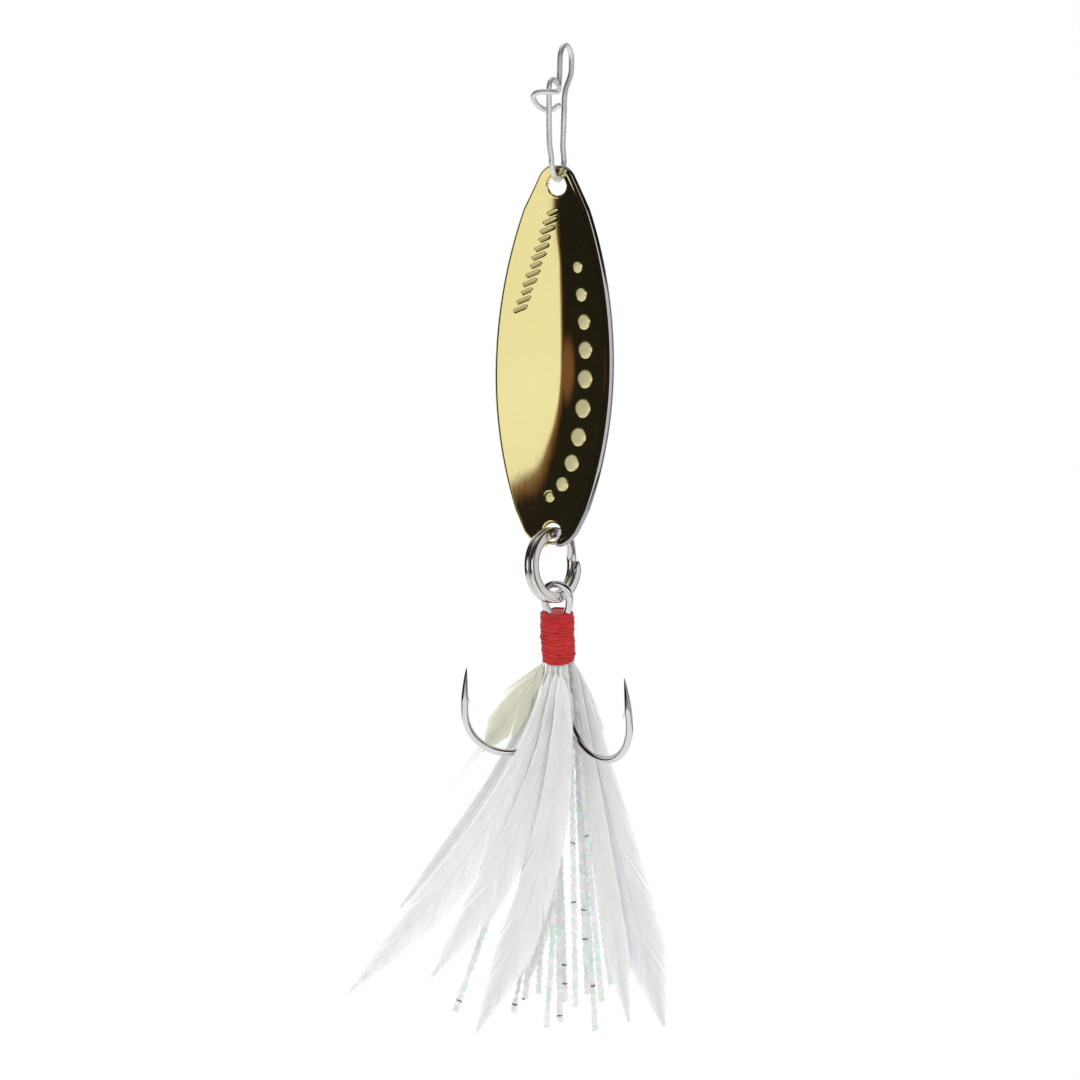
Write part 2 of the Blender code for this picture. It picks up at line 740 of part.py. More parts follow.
def build_feathers():
    place = treble_matrix()
    for name, root, depth, tip, length, power, half, bow in FEATHERS:
        path = strand_path(root, depth, tip, length, power, bow, 14, FEATHER_ROOT_RADIUS)
        sections = []
        for i, (spot, side, thick) in enumerate(strand_frames(path, tip, bow)):
            wide = half * vane(i / 14)
            sections.append([
                place @ (spot - side * wide + thick * FEATHER_EDGE),
                place @ (spot + thick * FEATHER_RACHIS),
                place @ (spot + side * wide + thick * FEATHER_EDGE),
                place @ (spot + side * wide - thick * FEATHER_EDGE),
                place @ (spot - thick * FEATHER_RACHIS),
                place @ (spot - side * wide - thick * FEATHER_EDGE),
            ])
        add_object(name, loft(sections), "white_hackle", ring_centre())


def build_tinsel():
    place = treble_matrix()
    for number, (root, depth, tip, length, power, bow) in enumerate(TINSEL):
        count = 24
        path = strand_path(root, depth, tip, length, power, bow, count, TINSEL_ROOT_RADIUS)
        sections = []
        for i, (spot, side, thick) in enumerate(strand_frames(path, tip, bow)):
            wave = TINSEL_CRINKLE * (1 if i % 2 else -1) * min(1.0, i / 6)
            spot = spot + side * wave
            sections.append([
                place @ (spot - side * TINSEL_HALF_WIDTH + thick * TINSEL_HALF_THICKNESS),
                place @ (spot + side * TINSEL_HALF_WIDTH + thick * TINSEL_HALF_THICKNESS),
                place @ (spot + side * TINSEL_HALF_WIDTH - thick * TINSEL_HALF_THICKNESS),
                place @ (spot - side * TINSEL_HALF_WIDTH - thick * TINSEL_HALF_THICKNESS),
            ])
        add_object(f"tinsel_strand_{number + 1:02d}", loft(sections), "pearl_tinsel", ring_centre())


clear_scene()
parts = new_collection(OBJECT_NAME)
cutters = new_collection("cutters", cutters=True)
build_snap()
build_blade()
build_ring()
build_treble()
build_wrap()
build_feathers()
build_tinsel()
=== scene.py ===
"""The looks of a dressed flutter spoon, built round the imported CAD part."""

import bmesh
import bpy
import json
import math
import random
import numpy as np
from mathutils import Matrix, Vector


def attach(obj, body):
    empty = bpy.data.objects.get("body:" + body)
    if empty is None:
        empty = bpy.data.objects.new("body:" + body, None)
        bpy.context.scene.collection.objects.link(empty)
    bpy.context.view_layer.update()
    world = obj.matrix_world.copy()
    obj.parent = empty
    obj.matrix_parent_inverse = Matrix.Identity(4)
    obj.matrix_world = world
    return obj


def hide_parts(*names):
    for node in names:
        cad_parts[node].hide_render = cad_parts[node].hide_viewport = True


MM = 0.001
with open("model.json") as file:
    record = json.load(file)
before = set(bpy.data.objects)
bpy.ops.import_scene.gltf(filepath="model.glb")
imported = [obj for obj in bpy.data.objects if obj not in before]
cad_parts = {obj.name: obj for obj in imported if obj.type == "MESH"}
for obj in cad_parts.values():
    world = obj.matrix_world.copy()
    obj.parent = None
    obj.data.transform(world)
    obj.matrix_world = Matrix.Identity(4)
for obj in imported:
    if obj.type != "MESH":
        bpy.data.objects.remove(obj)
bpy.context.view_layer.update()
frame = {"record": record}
record = frame["record"]
JOINTS = {joint["name"]: joint for joint in record["behaviour"]["joints"]}
rng = random.Random(11)


def at(values):
    return Vector(values) / MM


SWING = at(JOINTS["blade_swing"]["pos_m"])
RING_CENTRE = at(JOINTS["treble_slide_round_ring"]["pos_m"])
RING_ACROSS = Vector(JOINTS["ring_swing"]["axis"]).normalized()
RING_AXIS = Vector(JOINTS["treble_slide_round_ring"]["axis"]).normalized()
LOOP_ACROSS = Vector(JOINTS["blade_swing"]["axis"]).normalized()
UP = Vector((0.0, 0.0, 1.0))
WHITE = (1.0, 1.0, 1.0, 1.0)


# ------------------------------------------------------------------ mesh helpers


def finish_mesh(name, verts, faces, material, body, nodes, smooth=True, tints=None):
    """A mesh object from points in millimetres, riding on a body in place of its CAD nodes."""
    mesh = bpy.data.meshes.new(name)
    mesh.from_pydata([tuple(c * MM for c in v) for v in verts], [], faces)
    mesh.update()
    if tints is not None:
        layer = mesh.color_attributes.new("tint", "FLOAT_COLOR", "POINT")
        layer.data.foreach_set("color", np.asarray(tints, dtype=np.float32).ravel())
    for face in mesh.polygons:
        face.use_smooth = smooth
    made = bpy.data.objects.new(name, mesh)
    bpy.context.scene.collection.objects.link(made)
    mesh.materials.append(material)
    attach(made, body)
    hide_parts(*nodes)
    return made


class Skin:
    """Points and faces gathered for one piece, with an optional tint for each point."""

    def __init__(self):
        self.verts, self.faces, self.tints = [], [], []

    def rings(self, rings, tint=WHITE):
        """A skin over rings that have the same number of points, with a flat face at each end."""
        base, count = len(self.verts), len(rings[0])
        for ring in rings:
            self.verts.extend(ring)
            self.tints.extend([tint] * count)
        for i in range(len(rings) - 1):
            a, b = base + i * count, base + (i + 1) * count
            for j in range(count):
                k = (j + 1) % count
                self.faces.append((a + j, a + k, b + k, b + j))
        last = base + (len(rings) - 1) * count
        self.faces.append(tuple(base + j for j in range(count))[::-1])
        self.faces.append(tuple(last + j for j in range(count)))


def through(points, steps):
    """A Catmull-Rom curve through the points, with the given number of steps between neighbours."""
    points = [Vector(p) for p in points]
    ends = [2 * points[0] - points[1]] + points + [2 * points[-1] - points[-2]]
    path = []
    for i in range(1, len(ends) - 2):
        a, b, c, d = ends[i - 1], ends[i], ends[i + 1], ends[i + 2]
        for j in range(steps):
            t = j / steps
            path.append(
                0.5 * (2 * b + (c - a) * t + (2 * a - 5 * b + 4 * c - d) * t**2
                       + (3 * b - a - 3 * c + d) * t**3)
            )
    path.append(points[-1])
    return path


def frames(path, first=None):
    """Each point of a path with two directions across it, carried along without twist."""
    count = len(path)
    runs = [(path[min(i + 1, count - 1)] - path[max(i - 1, 0)]).normalized() for i in range(count)]
    side = first or runs[0].orthogonal()
    side = (side - runs[0] * side.dot(runs[0])).normalized()
    for spot, run in zip(path, runs):
        side = (side - run * side.dot(run)).normalized()
        yield spot, run, side, run.cross(side)


END_LIFTS = (0.97, 0.75, 0.4)


def circle(count):
    """The cosine and sine of turns evenly spaced round a circle."""
    return [(math.cos(2 * math.pi * j / count), math.sin(2 * math.pi * j / count)) for j in range(count)]


def tube(skin, path, radius, sides, tint=WHITE):
    """A round wire with round ends. radius is a number or one number for each point."""
    radii = radius if hasattr(radius, "__len__") else [radius] * len(path)
    rings = []
    placed = list(frames(path))
    turns = circle(sides)

    def ring(spot, a, b, r):
        return [spot + a * (r * c) + b * (r * s) for c, s in turns]

    spot, run, a, b = placed[0]
    for lift in END_LIFTS:
        rings.append(ring(spot - run * radii[0] * lift, a, b, radii[0] * math.sqrt(1 - lift**2)))
    for (spot, run, a, b), r in zip(placed, radii):
        rings.append(ring(spot, a, b, r))
    spot, run, a, b = placed[-1]
    for lift in END_LIFTS[::-1]:
        rings.append(ring(spot + run * radii[-1] * lift, a, b, radii[-1] * math.sqrt(1 - lift**2)))
    skin.rings(rings, tint=tint)


# ------------------------------------------------------------------ materials


class Look:
    """A node material with short ways to add and join nodes."""

    def __init__(self, name):
        self.material = bpy.data.materials.new(name)
        self.material.use_nodes = True
        self.nodes = self.material.node_tree.nodes
        self.links = self.material.node_tree.links
        self.shader = self.nodes["Principled BSDF"]
        self.output = self.nodes["Material Output"]
        self.place = self.nodes.new("ShaderNodeTexCoord").outputs["Object"]

    def put(self, kind, inputs=None, **settings):
        node = self.nodes.new(kind)
        for key, value in settings.items():
            setattr(node, key, value)
        for key, value in (inputs or {}).items():
            if isinstance(value, bpy.types.NodeSocket):
                self.links.new(value, node.inputs[key])
            else:
                node.inputs[key].default_value = value
        return node

    def noise(self, scale, detail, stretch=None, distort=0.0):
        where = self.place
        if stretch:
            where = self.put("ShaderNodeMapping", {"Vector": where, "Scale": stretch}).outputs[0]
        return self.put("ShaderNodeTexNoise", {
            "Vector": where, "Scale": scale, "Detail": detail, "Distortion": distort}).outputs["Fac"]

    def span(self, value, low, high, to_low, to_high):
        return self.put("ShaderNodeMapRange", {
            "Value": value, "From Min": low, "From Max": high,
            "To Min": to_low, "To Max": to_high}).outputs[0]

    def math(self, operation, a, b):
        return self.put("ShaderNodeMath", {0: a, 1: b}, operation=operation).outputs[0]

    def mix(self, share, a, b, blend="MIX"):
        node = self.put("ShaderNodeMix", data_type="RGBA", blend_type=blend)
        for socket, value in zip((node.inputs[0], node.inputs[6], node.inputs[7]), (share, a, b)):
            if isinstance(value, bpy.types.NodeSocket):
                self.links.new(value, socket)
            else:
                socket.default_value = value
        return node.outputs[2]

    def patchy(self, value, low, high, one, other):
        """One colour that turns into another as a noise rises from low to high."""
        return self.mix(self.span(value, low, high, 0.0, 1.0), (*one, 1.0), (*other, 1.0))

    def tint(self):
        return self.put("ShaderNodeVertexColor", layer_name="tint").outputs["Color"]

    def let_through(self, colour, share):
        """A share of the light goes through instead of being thrown back."""
        through_light = self.put("ShaderNodeBsdfTranslucent", {"Color": colour})
        both = self.put("ShaderNodeMixShader", {
            0: share, 1: self.shader.outputs[0], 2: through_light.outputs[0]})
        self.links.new(both.outputs[0], self.output.inputs["Surface"])

    def ramp(self, value, stops):
        node = self.put("ShaderNodeValToRGB", {"Fac": value})
        ramp = node.color_ramp
        while len(ramp.elements) > len(stops):
            ramp.elements.remove(ramp.elements[-1])
        while len(ramp.elements) < len(stops):
            ramp.elements.new(1.0)
        for element, (where, colour) in zip(ramp.elements, stops):
            element.position = where
            element.color = (*colour, 1.0)
        return node.outputs["Color"]

    def bump(self, height, distance, strength=1.0, below=None):
        inputs = {"Height": height, "Distance": distance, "Strength": strength}
        if below is not None:
            inputs["Normal"] = below
        return self.put("ShaderNodeBump", inputs).outputs["Normal"]

    def set(self, **values):
        for key, value in values.items():
            socket = self.shader.inputs[key.replace("_", " ")]
            if isinstance(value, bpy.types.NodeSocket):
                self.links.new(value, socket)
            else:
                socket.default_value = value


def plated(name, colour, wear_and_rim_reflection, roughness, grain, bump, marked=False):
    """Plated or polished metal: a faint patchy tone, fine scratches and a soft unevenness."""
    look = Look(name)
    patch = look.noise(220.0, 4.0)
    fine = look.noise(2600.0, 5.0, stretch=grain)
    base = look.patchy(patch, 0.35, 0.7, colour, wear_and_rim_reflection)
    if marked:
        base = look.mix(1.0, base, look.tint(), "MULTIPLY")
    look.set(Base_Color=base)
    look.set(Metallic=1.0)
    look.set(Roughness=look.span(fine, 0.3, 0.75, roughness * 0.7, roughness * 1.5))
    soft = look.bump(look.noise(420.0, 2.0), 0.00002, 0.35)
    look.set(Normal=look.bump(fine, bump, 0.5, soft))
    return look.material


BUMP_TOP_COLOUR = (0.66, 0.61, 0.34, 1.0)
# Brown painted shade for the grooves of the stamped strokes.
STROKE_SHADE_COLOUR = (0.30, 0.20, 0.08, 1.0)
# Lilac-grey painted reflection tint for the rim and bead line of the right half, in place of the gold.
RIM_REFLECTION_TINT = (0.46, 0.44, 0.52, 1.0)


def gold_look():
    """Gold plate. The tint marks the bump tops in red, the right rim and bead line that get a lilac-grey
    painted reflection tint in green, and the strokes that get brown painted shade in blue.
    """
    look = Look("polished_gold_plate")
    patch = look.noise(90.0, 3.0)
    fine = look.noise(1500.0, 6.0, stretch=(3.0, 3.0, 0.35))
    base = look.patchy(patch, 0.3, 0.7, (0.86, 0.77, 0.37), (0.82, 0.72, 0.33))
    bump_top, rim, stroke = look.put("ShaderNodeSeparateColor", {0: look.tint()}).outputs[:3]
    base = look.mix(bump_top, base, BUMP_TOP_COLOUR)
    # Blue: the stamped strokes, which get brown painted shade in their grooves.
    base = look.mix(look.math("MULTIPLY", stroke, 0.7), base, STROKE_SHADE_COLOUR)
    # Green: the lilac-grey painted reflection tint on the right rim and bead line.
    look.set(Base_Color=look.mix(rim, base, RIM_REFLECTION_TINT))
    look.set(Metallic=look.math("SUBTRACT", 1.0, look.math("MULTIPLY", bump_top, 0.62)))
    shine = look.span(fine, 0.3, 0.75, 0.035, 0.085)
    look.set(Roughness=look.math("ADD", shine, look.math("MULTIPLY", bump_top, 0.30)))
    wavy = look.bump(look.noise(170.0, 2.0, distort=0.4), 0.00003, 0.30)
    look.set(Normal=look.bump(fine, 0.0000012, 0.4, wavy))
    return look.material


def thread_look():
    look = Look("waxed_red_thread")
    strand = look.noise(5200.0, 3.0, stretch=(1.0, 1.0, 4.0))
    patch = look.noise(700.0, 3.0)
    look.set(Base_Color=look.patchy(patch, 0.3, 0.72, (0.58, 0.028, 0.028), (0.42, 0.012, 0.014)))
    look.set(Roughness=look.span(strand, 0.3, 0.7, 0.35, 0.6))
    look.set(Specular_IOR_Level=0.35)
    look.set(Normal=look.bump(strand, 0.00002, 0.6))
    return look.material


def hackle_look():
    look = Look("white_hackle")
    streak = look.noise(1400.0, 4.0, stretch=(1.0, 1.0, 0.25))
    pale = look.patchy(streak, 0.3, 0.7, (0.98, 0.98, 0.975), (0.955, 0.955, 0.95))
    colour = look.mix(1.0, pale, look.tint(), "MULTIPLY")
    look.set(Base_Color=colour)
    look.set(Roughness=0.7)
    look.set(Specular_IOR_Level=0.2)
    look.set(Normal=look.bump(streak, 0.000004, 0.4))
    look.let_through(colour, 0.55)
    return look.material


def pearl_look():
    look = Look("pearl_film")
    band = look.noise(1300.0, 3.0, distort=0.8)
    hue = look.ramp(band, [
        (0.28, (0.78, 0.95, 0.92)), (0.40, (0.96, 0.98, 0.97)), (0.48, (0.97, 0.90, 0.95)),
        (0.56, (0.90, 0.98, 0.90)), (0.66, (0.84, 0.90, 0.98)), (0.76, (0.97, 0.96, 0.88))])
    colour = look.mix(1.0, hue, look.tint(), "MULTIPLY")
    look.set(Base_Color=colour)
    look.set(Metallic=0.12)
    look.set(Roughness=look.span(band, 0.3, 0.7, 0.15, 0.35))
    look.set(Coat_Weight=0.5)
    look.set(Coat_Roughness=0.1)
    look.set(Normal=look.bump(look.noise(3000.0, 2.0), 0.00002, 0.4))
    look.let_through(colour, 0.5)
    return look.material


# ------------------------------------------------------------------ snap

SNAP_RADIUS = 0.225
LOOP_RADIUS = 1.673
EYE_RADIUS = 1.2
EYE_STEPS = 8
EYE_HEADING = (0.38, 0.94)
LOOP_STEPS = 16
CURVE_STEPS = 5


def snap_path():
    """The snap's one wire: the clasp, over the eye, down the back, round the loop and up the front."""
    middle = SWING + UP * LOOP_RADIUS
    clasp = [
        (-0.60, -2.26, -4.60), (-0.95, -2.08, -4.85), (-1.34, -2.00, -4.97), (-1.80, -2.08, -4.88),
        (-2.22, -2.34, -4.60), (-2.50, -2.72, -4.26), (-2.58, -3.16, -3.92), (-2.36, -3.56, -3.68),
        (-1.90, -3.74, -3.60), (-1.36, -3.72, -3.60), (-0.92, -3.42, -3.58), (-0.68, -2.80, -3.54),
        (-0.60, -2.14, -3.44), (-0.57, -1.56, -3.14), (-0.54, -1.26, -2.60), (-0.50, -1.16, -1.85),
    ]
    eye = []
    for i in range(EYE_STEPS + 1):
        turn = math.radians(180.0 - i * 180.0 / EYE_STEPS)
        across = EYE_RADIUS * math.cos(turn)
        level = SNAP_RADIUS + EYE_RADIUS * (math.sin(turn) - 1.0)
        eye.append((EYE_HEADING[0] * across - 0.02, EYE_HEADING[1] * across, level))
    spine = [
        (0.40, 1.12, -1.85), (0.22, 1.04, -2.50), (0.00, 0.92, -3.10), (-0.12, 0.84, -3.80),
        (-0.16, 0.84, -5.00), (-0.20, 0.94, -6.40), (-0.25, 1.14, -7.60),
    ]
    arc = []
    for i in range(LOOP_STEPS + 1):
        turn = -math.pi * i / LOOP_STEPS
        arc.append(middle + (LOOP_ACROSS * math.cos(turn) + UP * math.sin(turn)) * LOOP_RADIUS)
    front = [
        (-1.30, -2.12, -7.60), (-1.34, -2.45, -6.00), (-1.34, -2.78, -4.60), (-1.34, -3.00, -3.55),
        (-1.31, -3.02, -3.02), (-1.20, -2.76, -2.68), (-0.98, -2.38, -2.58), (-0.78, -2.06, -2.78),
    ]
    upper = through(clasp + eye + spine, CURVE_STEPS)
    lower = through(spine[-2:] + arc + front, CURVE_STEPS)
    return upper[:-1] + lower[CURVE_STEPS:]


def build_snap():
    skin = Skin()
    tube(skin, snap_path(), SNAP_RADIUS, 16)
    look = plated("bright_nickel_wire", (0.97, 0.97, 0.975), (0.92, 0.92, 0.93), 0.50,
                  (1.0, 1.0, 0.2), 0.000002)
    finish_mesh("snap_wire_visual", skin.verts, skin.faces, look, "snap", ["snap_wire"])


# ------------------------------------------------------------------ blade

BLADE_THICKNESS = 0.40
BLADE_TOP = -9.25
BLADE_BOTTOM = -39.25
BLADE_WIDEST = -25.35
BLADE_HALF_WIDTH = 4.86
BLADE_END_ARCS = ((BLADE_TOP, 1.63, -1), (BLADE_BOTTOM, 2.6, 1))
UPPER_SIDE_RADIUS = 38.1
LOWER_SIDE_RADIUS = 33.9
SIDE_FROM = -11.0
SIDE_SPAN = 23.6
OUTLINE_STEPS = 180
DISH_RADIUS = 8.0
TOP_HOLE = -10.87
BOTTOM_HOLE = -38.1
EDGE_BULGE = 0.13
# The rounded edge narrows a hole. The top one is cut wider for that; the bottom one has no room.
HOLES = ((TOP_HOLE, 0.75 + EDGE_BULGE), (BOTTOM_HOLE, 0.85))
DISH_SMOOTHING = 1.6
BLADE_TURN = math.radians(21.0)
BLADE_LEAN = math.radians(0.9)
BUMP_COUNT = 10
BUMP_HEIGHT = 0.2
BUMP_SQUEEZE = 0.96
MOAT_AT = 1.12
MOAT_WIDTH = 0.16
MOAT_SHARE = 0.10
BUMP_ACROSS = (-3.08, -1.80, 2.88, 1.60)
BUMP_LEVEL = (13.74, -16.59, 4.41, -19.71, -17.21)
BUMP_RADIUS = (-1.13, 0.26, 0.81, 0.40)
BLADE_TRIM = 0.03
BLADE_ROWS = 372
BLADE_COLUMNS = 116
COLUMN_EASE = 0.86
SLOPE_STEP = 0.05
# How far the rounded edge stands out, at shares of the way from the front of the sheet to its back.
EDGE_PROFILE = ((0.075, 0.10), (0.13, 0.32), (0.145, 0.5), (0.13, 0.68), (0.075, 0.90))


def outline():
    """Levels down the blade and the half width at each: a hull round two end arcs and two side arcs."""
    points = []
    for i in range(OUTLINE_STEPS + 1):
        turn = math.pi * i / OUTLINE_STEPS - math.pi / 2
        for end, radius, sign in BLADE_END_ARCS:
            points.append((radius * math.cos(turn), end + sign * radius + radius * math.sin(turn)))
    for i in range(OUTLINE_STEPS + 1):
        away = SIDE_FROM + SIDE_SPAN * i / OUTLINE_STEPS
        radius = UPPER_SIDE_RADIUS if away > 0 else LOWER_SIDE_RADIUS
        points.append((BLADE_HALF_WIDTH - radius + math.sqrt(radius**2 - away**2), BLADE_WIDEST + away))
    chain = []
    for point in sorted(points, key=lambda p: (p[1], p[0])):
        while len(chain) > 1:
            (ax, az), (bx, bz) = chain[-2], chain[-1]
            if (bz - az) * (point[0] - ax) - (bx - ax) * (point[1] - az) < 0:
                break
            chain.pop()
        chain.append(point)
    return np.array([p[1] for p in chain]), np.array([p[0] for p in chain])


LEVELS, WIDTHS = outline()


def smooth_squares():
    """The square of the half width down the blade, with its bends eased and carried on past both ends."""
    levels = np.linspace(BLADE_BOTTOM - 6.0, BLADE_TOP + 6.0, 2000)
    squares = np.interp(levels, LEVELS, WIDTHS) ** 2
    for end, inward in ((BLADE_BOTTOM, 1.0), (BLADE_TOP, -1.0)):
        far, near = np.interp((end + 1.2 * inward, end + 0.2 * inward), LEVELS, WIDTHS) ** 2
        past = (levels - end) * inward < 0
        squares[past] = (levels[past] - end) * inward * (far - near)
    step = levels[1] - levels[0]
    reach = np.arange(-6 * DISH_SMOOTHING, 6 * DISH_SMOOTHING + step, step)
    bell = np.exp(-(reach / DISH_SMOOTHING) ** 2 / 2)
    return levels, np.convolve(squares, bell / bell.sum(), mode="same")


DISH_LEVELS, DISH_SQUARES = smooth_squares()


def dish(x, z):
    """How far the dished sheet lies behind the plane of its outline."""
    return (np.interp(z, DISH_LEVELS, DISH_SQUARES) - x**2) / (2 * DISH_RADIUS)


def blade_matrix():
    """Carries the blade from its own flat frame to where it hangs on the snap."""
    half = float(np.interp(TOP_HOLE, LEVELS, WIDTHS))
    middle = Vector((0.0, half**2 / (2 * DISH_RADIUS) + BLADE_THICKNESS / 2, TOP_HOLE))
    turn = Matrix.Rotation(-BLADE_TURN, 4, "Z") @ Matrix.Rotation(BLADE_LEAN, 4, "Y")
    return Matrix.Translation((SWING.x, SWING.y, TOP_HOLE)) @ turn @ Matrix.Translation(-middle)


def bumps():
    """Where each punched bump lies across and down the blade, and its radius."""
    for i in range(BUMP_COUNT):
        way = i / (BUMP_COUNT - 1)
        yield tuple(float(np.polyval(t, way)) for t in (BUMP_ACROSS, BUMP_LEVEL, BUMP_RADIUS))


def stamped(x, z):
    """How far the row of punched bumps raises the sheet, with a shallow moat round each."""
    raised = np.zeros_like(x)
    for across, level, radius in bumps():
        near = np.hypot((x - across), (z - level) * BUMP_SQUEEZE) / radius
        dome = np.where(near < 1.0, (1.0 - near**2) ** 0.75, 0.0)
        moat = np.exp(-((near - MOAT_AT) / MOAT_WIDTH) ** 2) * MOAT_SHARE
        raised = np.maximum(raised, dome * BUMP_HEIGHT) - moat * BUMP_HEIGHT
    return raised


BEAD_INSET = 0.52
BEAD_WIDTH = 0.10
BEAD_HEIGHT = 0.025
BEAD_FADE = 0.8
STROKE_COUNT = 12
STROKE_HALF = 0.46
STROKE_THICK = 0.115
STROKE_DEPTH = 0.05
STROKE_SHORT = 0.72
STROKE_LEAN = math.radians(-24.0)


def strokes(x, z):
    """A row of plain short strokes stamped near the top left: one in a stroke, nought outside."""
    share = np.zeros_like(x)
    lean_cos, lean_sin = math.cos(STROKE_LEAN), math.sin(STROKE_LEAN)
    for i in range(STROKE_COUNT):
        way = i / (STROKE_COUNT - 1)
        u, v = x + 0.40 + 2.70 * way, z + 13.0 + 7.6 * way
        a, b = u * lean_cos - v * lean_sin, u * lean_sin + v * lean_cos
        half = STROKE_HALF * (1.0 if i % 3 else STROKE_SHORT)
        past = np.clip(np.abs(a) - half, 0.0, None)
        share = np.maximum(share, np.exp(-((np.hypot(past, b) / STROKE_THICK) ** 4)))
    return share


def bump_share(x, z):
    """One on top of a bump and nought away from it."""
    share = np.zeros_like(x)
    for across, level, radius in bumps():
        near = np.hypot(x - across - 0.05 * radius, (z - level) * BUMP_SQUEEZE) / radius
        share = np.maximum(share, np.clip((0.95 - near) / 0.16, 0.0, 1.0))
    return share


def from_edge(x, z):
    """How far a point of the sheet lies inside its outline."""
    above, below = np.interp(z + SLOPE_STEP, LEVELS, WIDTHS), np.interp(z - SLOPE_STEP, LEVELS, WIDTHS)
    slope = (above - below) / (2 * SLOPE_STEP)
    return (np.interp(z, LEVELS, WIDTHS) - np.abs(x)) / np.sqrt(1.0 + slope**2)


def blade_grid():
    """Points over the sheet, the squares of the grid that are metal, and how many meet at each point."""
    ways = np.linspace(0.0, 1.0, BLADE_ROWS + 1)
    inner_top = BLADE_TOP - BLADE_TRIM - EDGE_BULGE
    inner_bottom = BLADE_BOTTOM + BLADE_TRIM + EDGE_BULGE
    eased = 0.25 * (0.5 - 0.5 * np.cos(np.pi * ways)) + 0.75 * ways
    levels = inner_top + (inner_bottom - inner_top) * eased
    halves = np.maximum(np.interp(levels, LEVELS, WIDTHS) - EDGE_BULGE, 0.12)
    columns = np.linspace(-1.0, 1.0, BLADE_COLUMNS + 1)
    shares = np.sin(np.pi / 2 * columns * COLUMN_EASE) / math.sin(math.pi / 2 * COLUMN_EASE)
    x = halves[:, None] * shares[None, :]
    z = np.repeat(levels[:, None], BLADE_COLUMNS + 1, axis=1)
    gone = np.zeros(x.shape, dtype=bool)
    for hole, radius in HOLES:
        gone |= np.hypot(x, z - hole) < radius
    keep = np.ones((BLADE_ROWS, BLADE_COLUMNS), dtype=bool)
    inside = gone[:-1, :-1].astype(int) + gone[1:, :-1] + gone[:-1, 1:] + gone[1:, 1:]
    keep[inside >= 2] = False
    counts = np.zeros(x.shape, dtype=int)
    for di in (0, 1):
        for dj in (0, 1):
            counts[di:BLADE_ROWS + di, dj:BLADE_COLUMNS + dj] += keep
    for hole, radius in HOLES:
        away = np.hypot(x, z - hole)
        edge = (counts > 0) & (counts < 4) & (away < radius * 1.3)
        x[edge] *= radius / away[edge]
        z[edge] = hole + (z[edge] - hole) * radius / away[edge]
    return x, z, keep, counts


def rounded_edge(quads, front_points, back_points):
    """Points and faces that close the sheet round its outline and both holes."""
    total = len(front_points)
    edges = dict.fromkeys((a, b) for q in quads for a, b in zip(q, q[1:] + q[:1]))
    border = [(a, b) for a, b in edges if (b, a) not in edges]
    follow = dict(border)
    out_of = {}
    for a, b in border:
        run = front_points[b] - front_points[a]
        normal = np.array([run[2], 0.0, -run[0]])
        size = np.linalg.norm(normal) or 1.0
        for v in (a, b):
            out_of[v] = out_of.get(v, np.zeros(3)) + normal / size
    extra, strips = [], {}
    for a in follow:
        outward = out_of[a] / (np.linalg.norm(out_of[a]) or 1.0)
        low, high = front_points[a], back_points[a]
        first = 2 * total + len(extra)
        for out, way in EDGE_PROFILE:
            extra.append(low + (high - low) * way + outward * out)
        strips[a] = [a, *range(first, first + len(EDGE_PROFILE)), total + a]
    faces = []
    for a, b in follow.items():
        for s in range(len(EDGE_PROFILE) + 1):
            faces.append((strips[a][s + 1], strips[b][s + 1], strips[b][s], strips[a][s]))
    return np.array(extra), faces


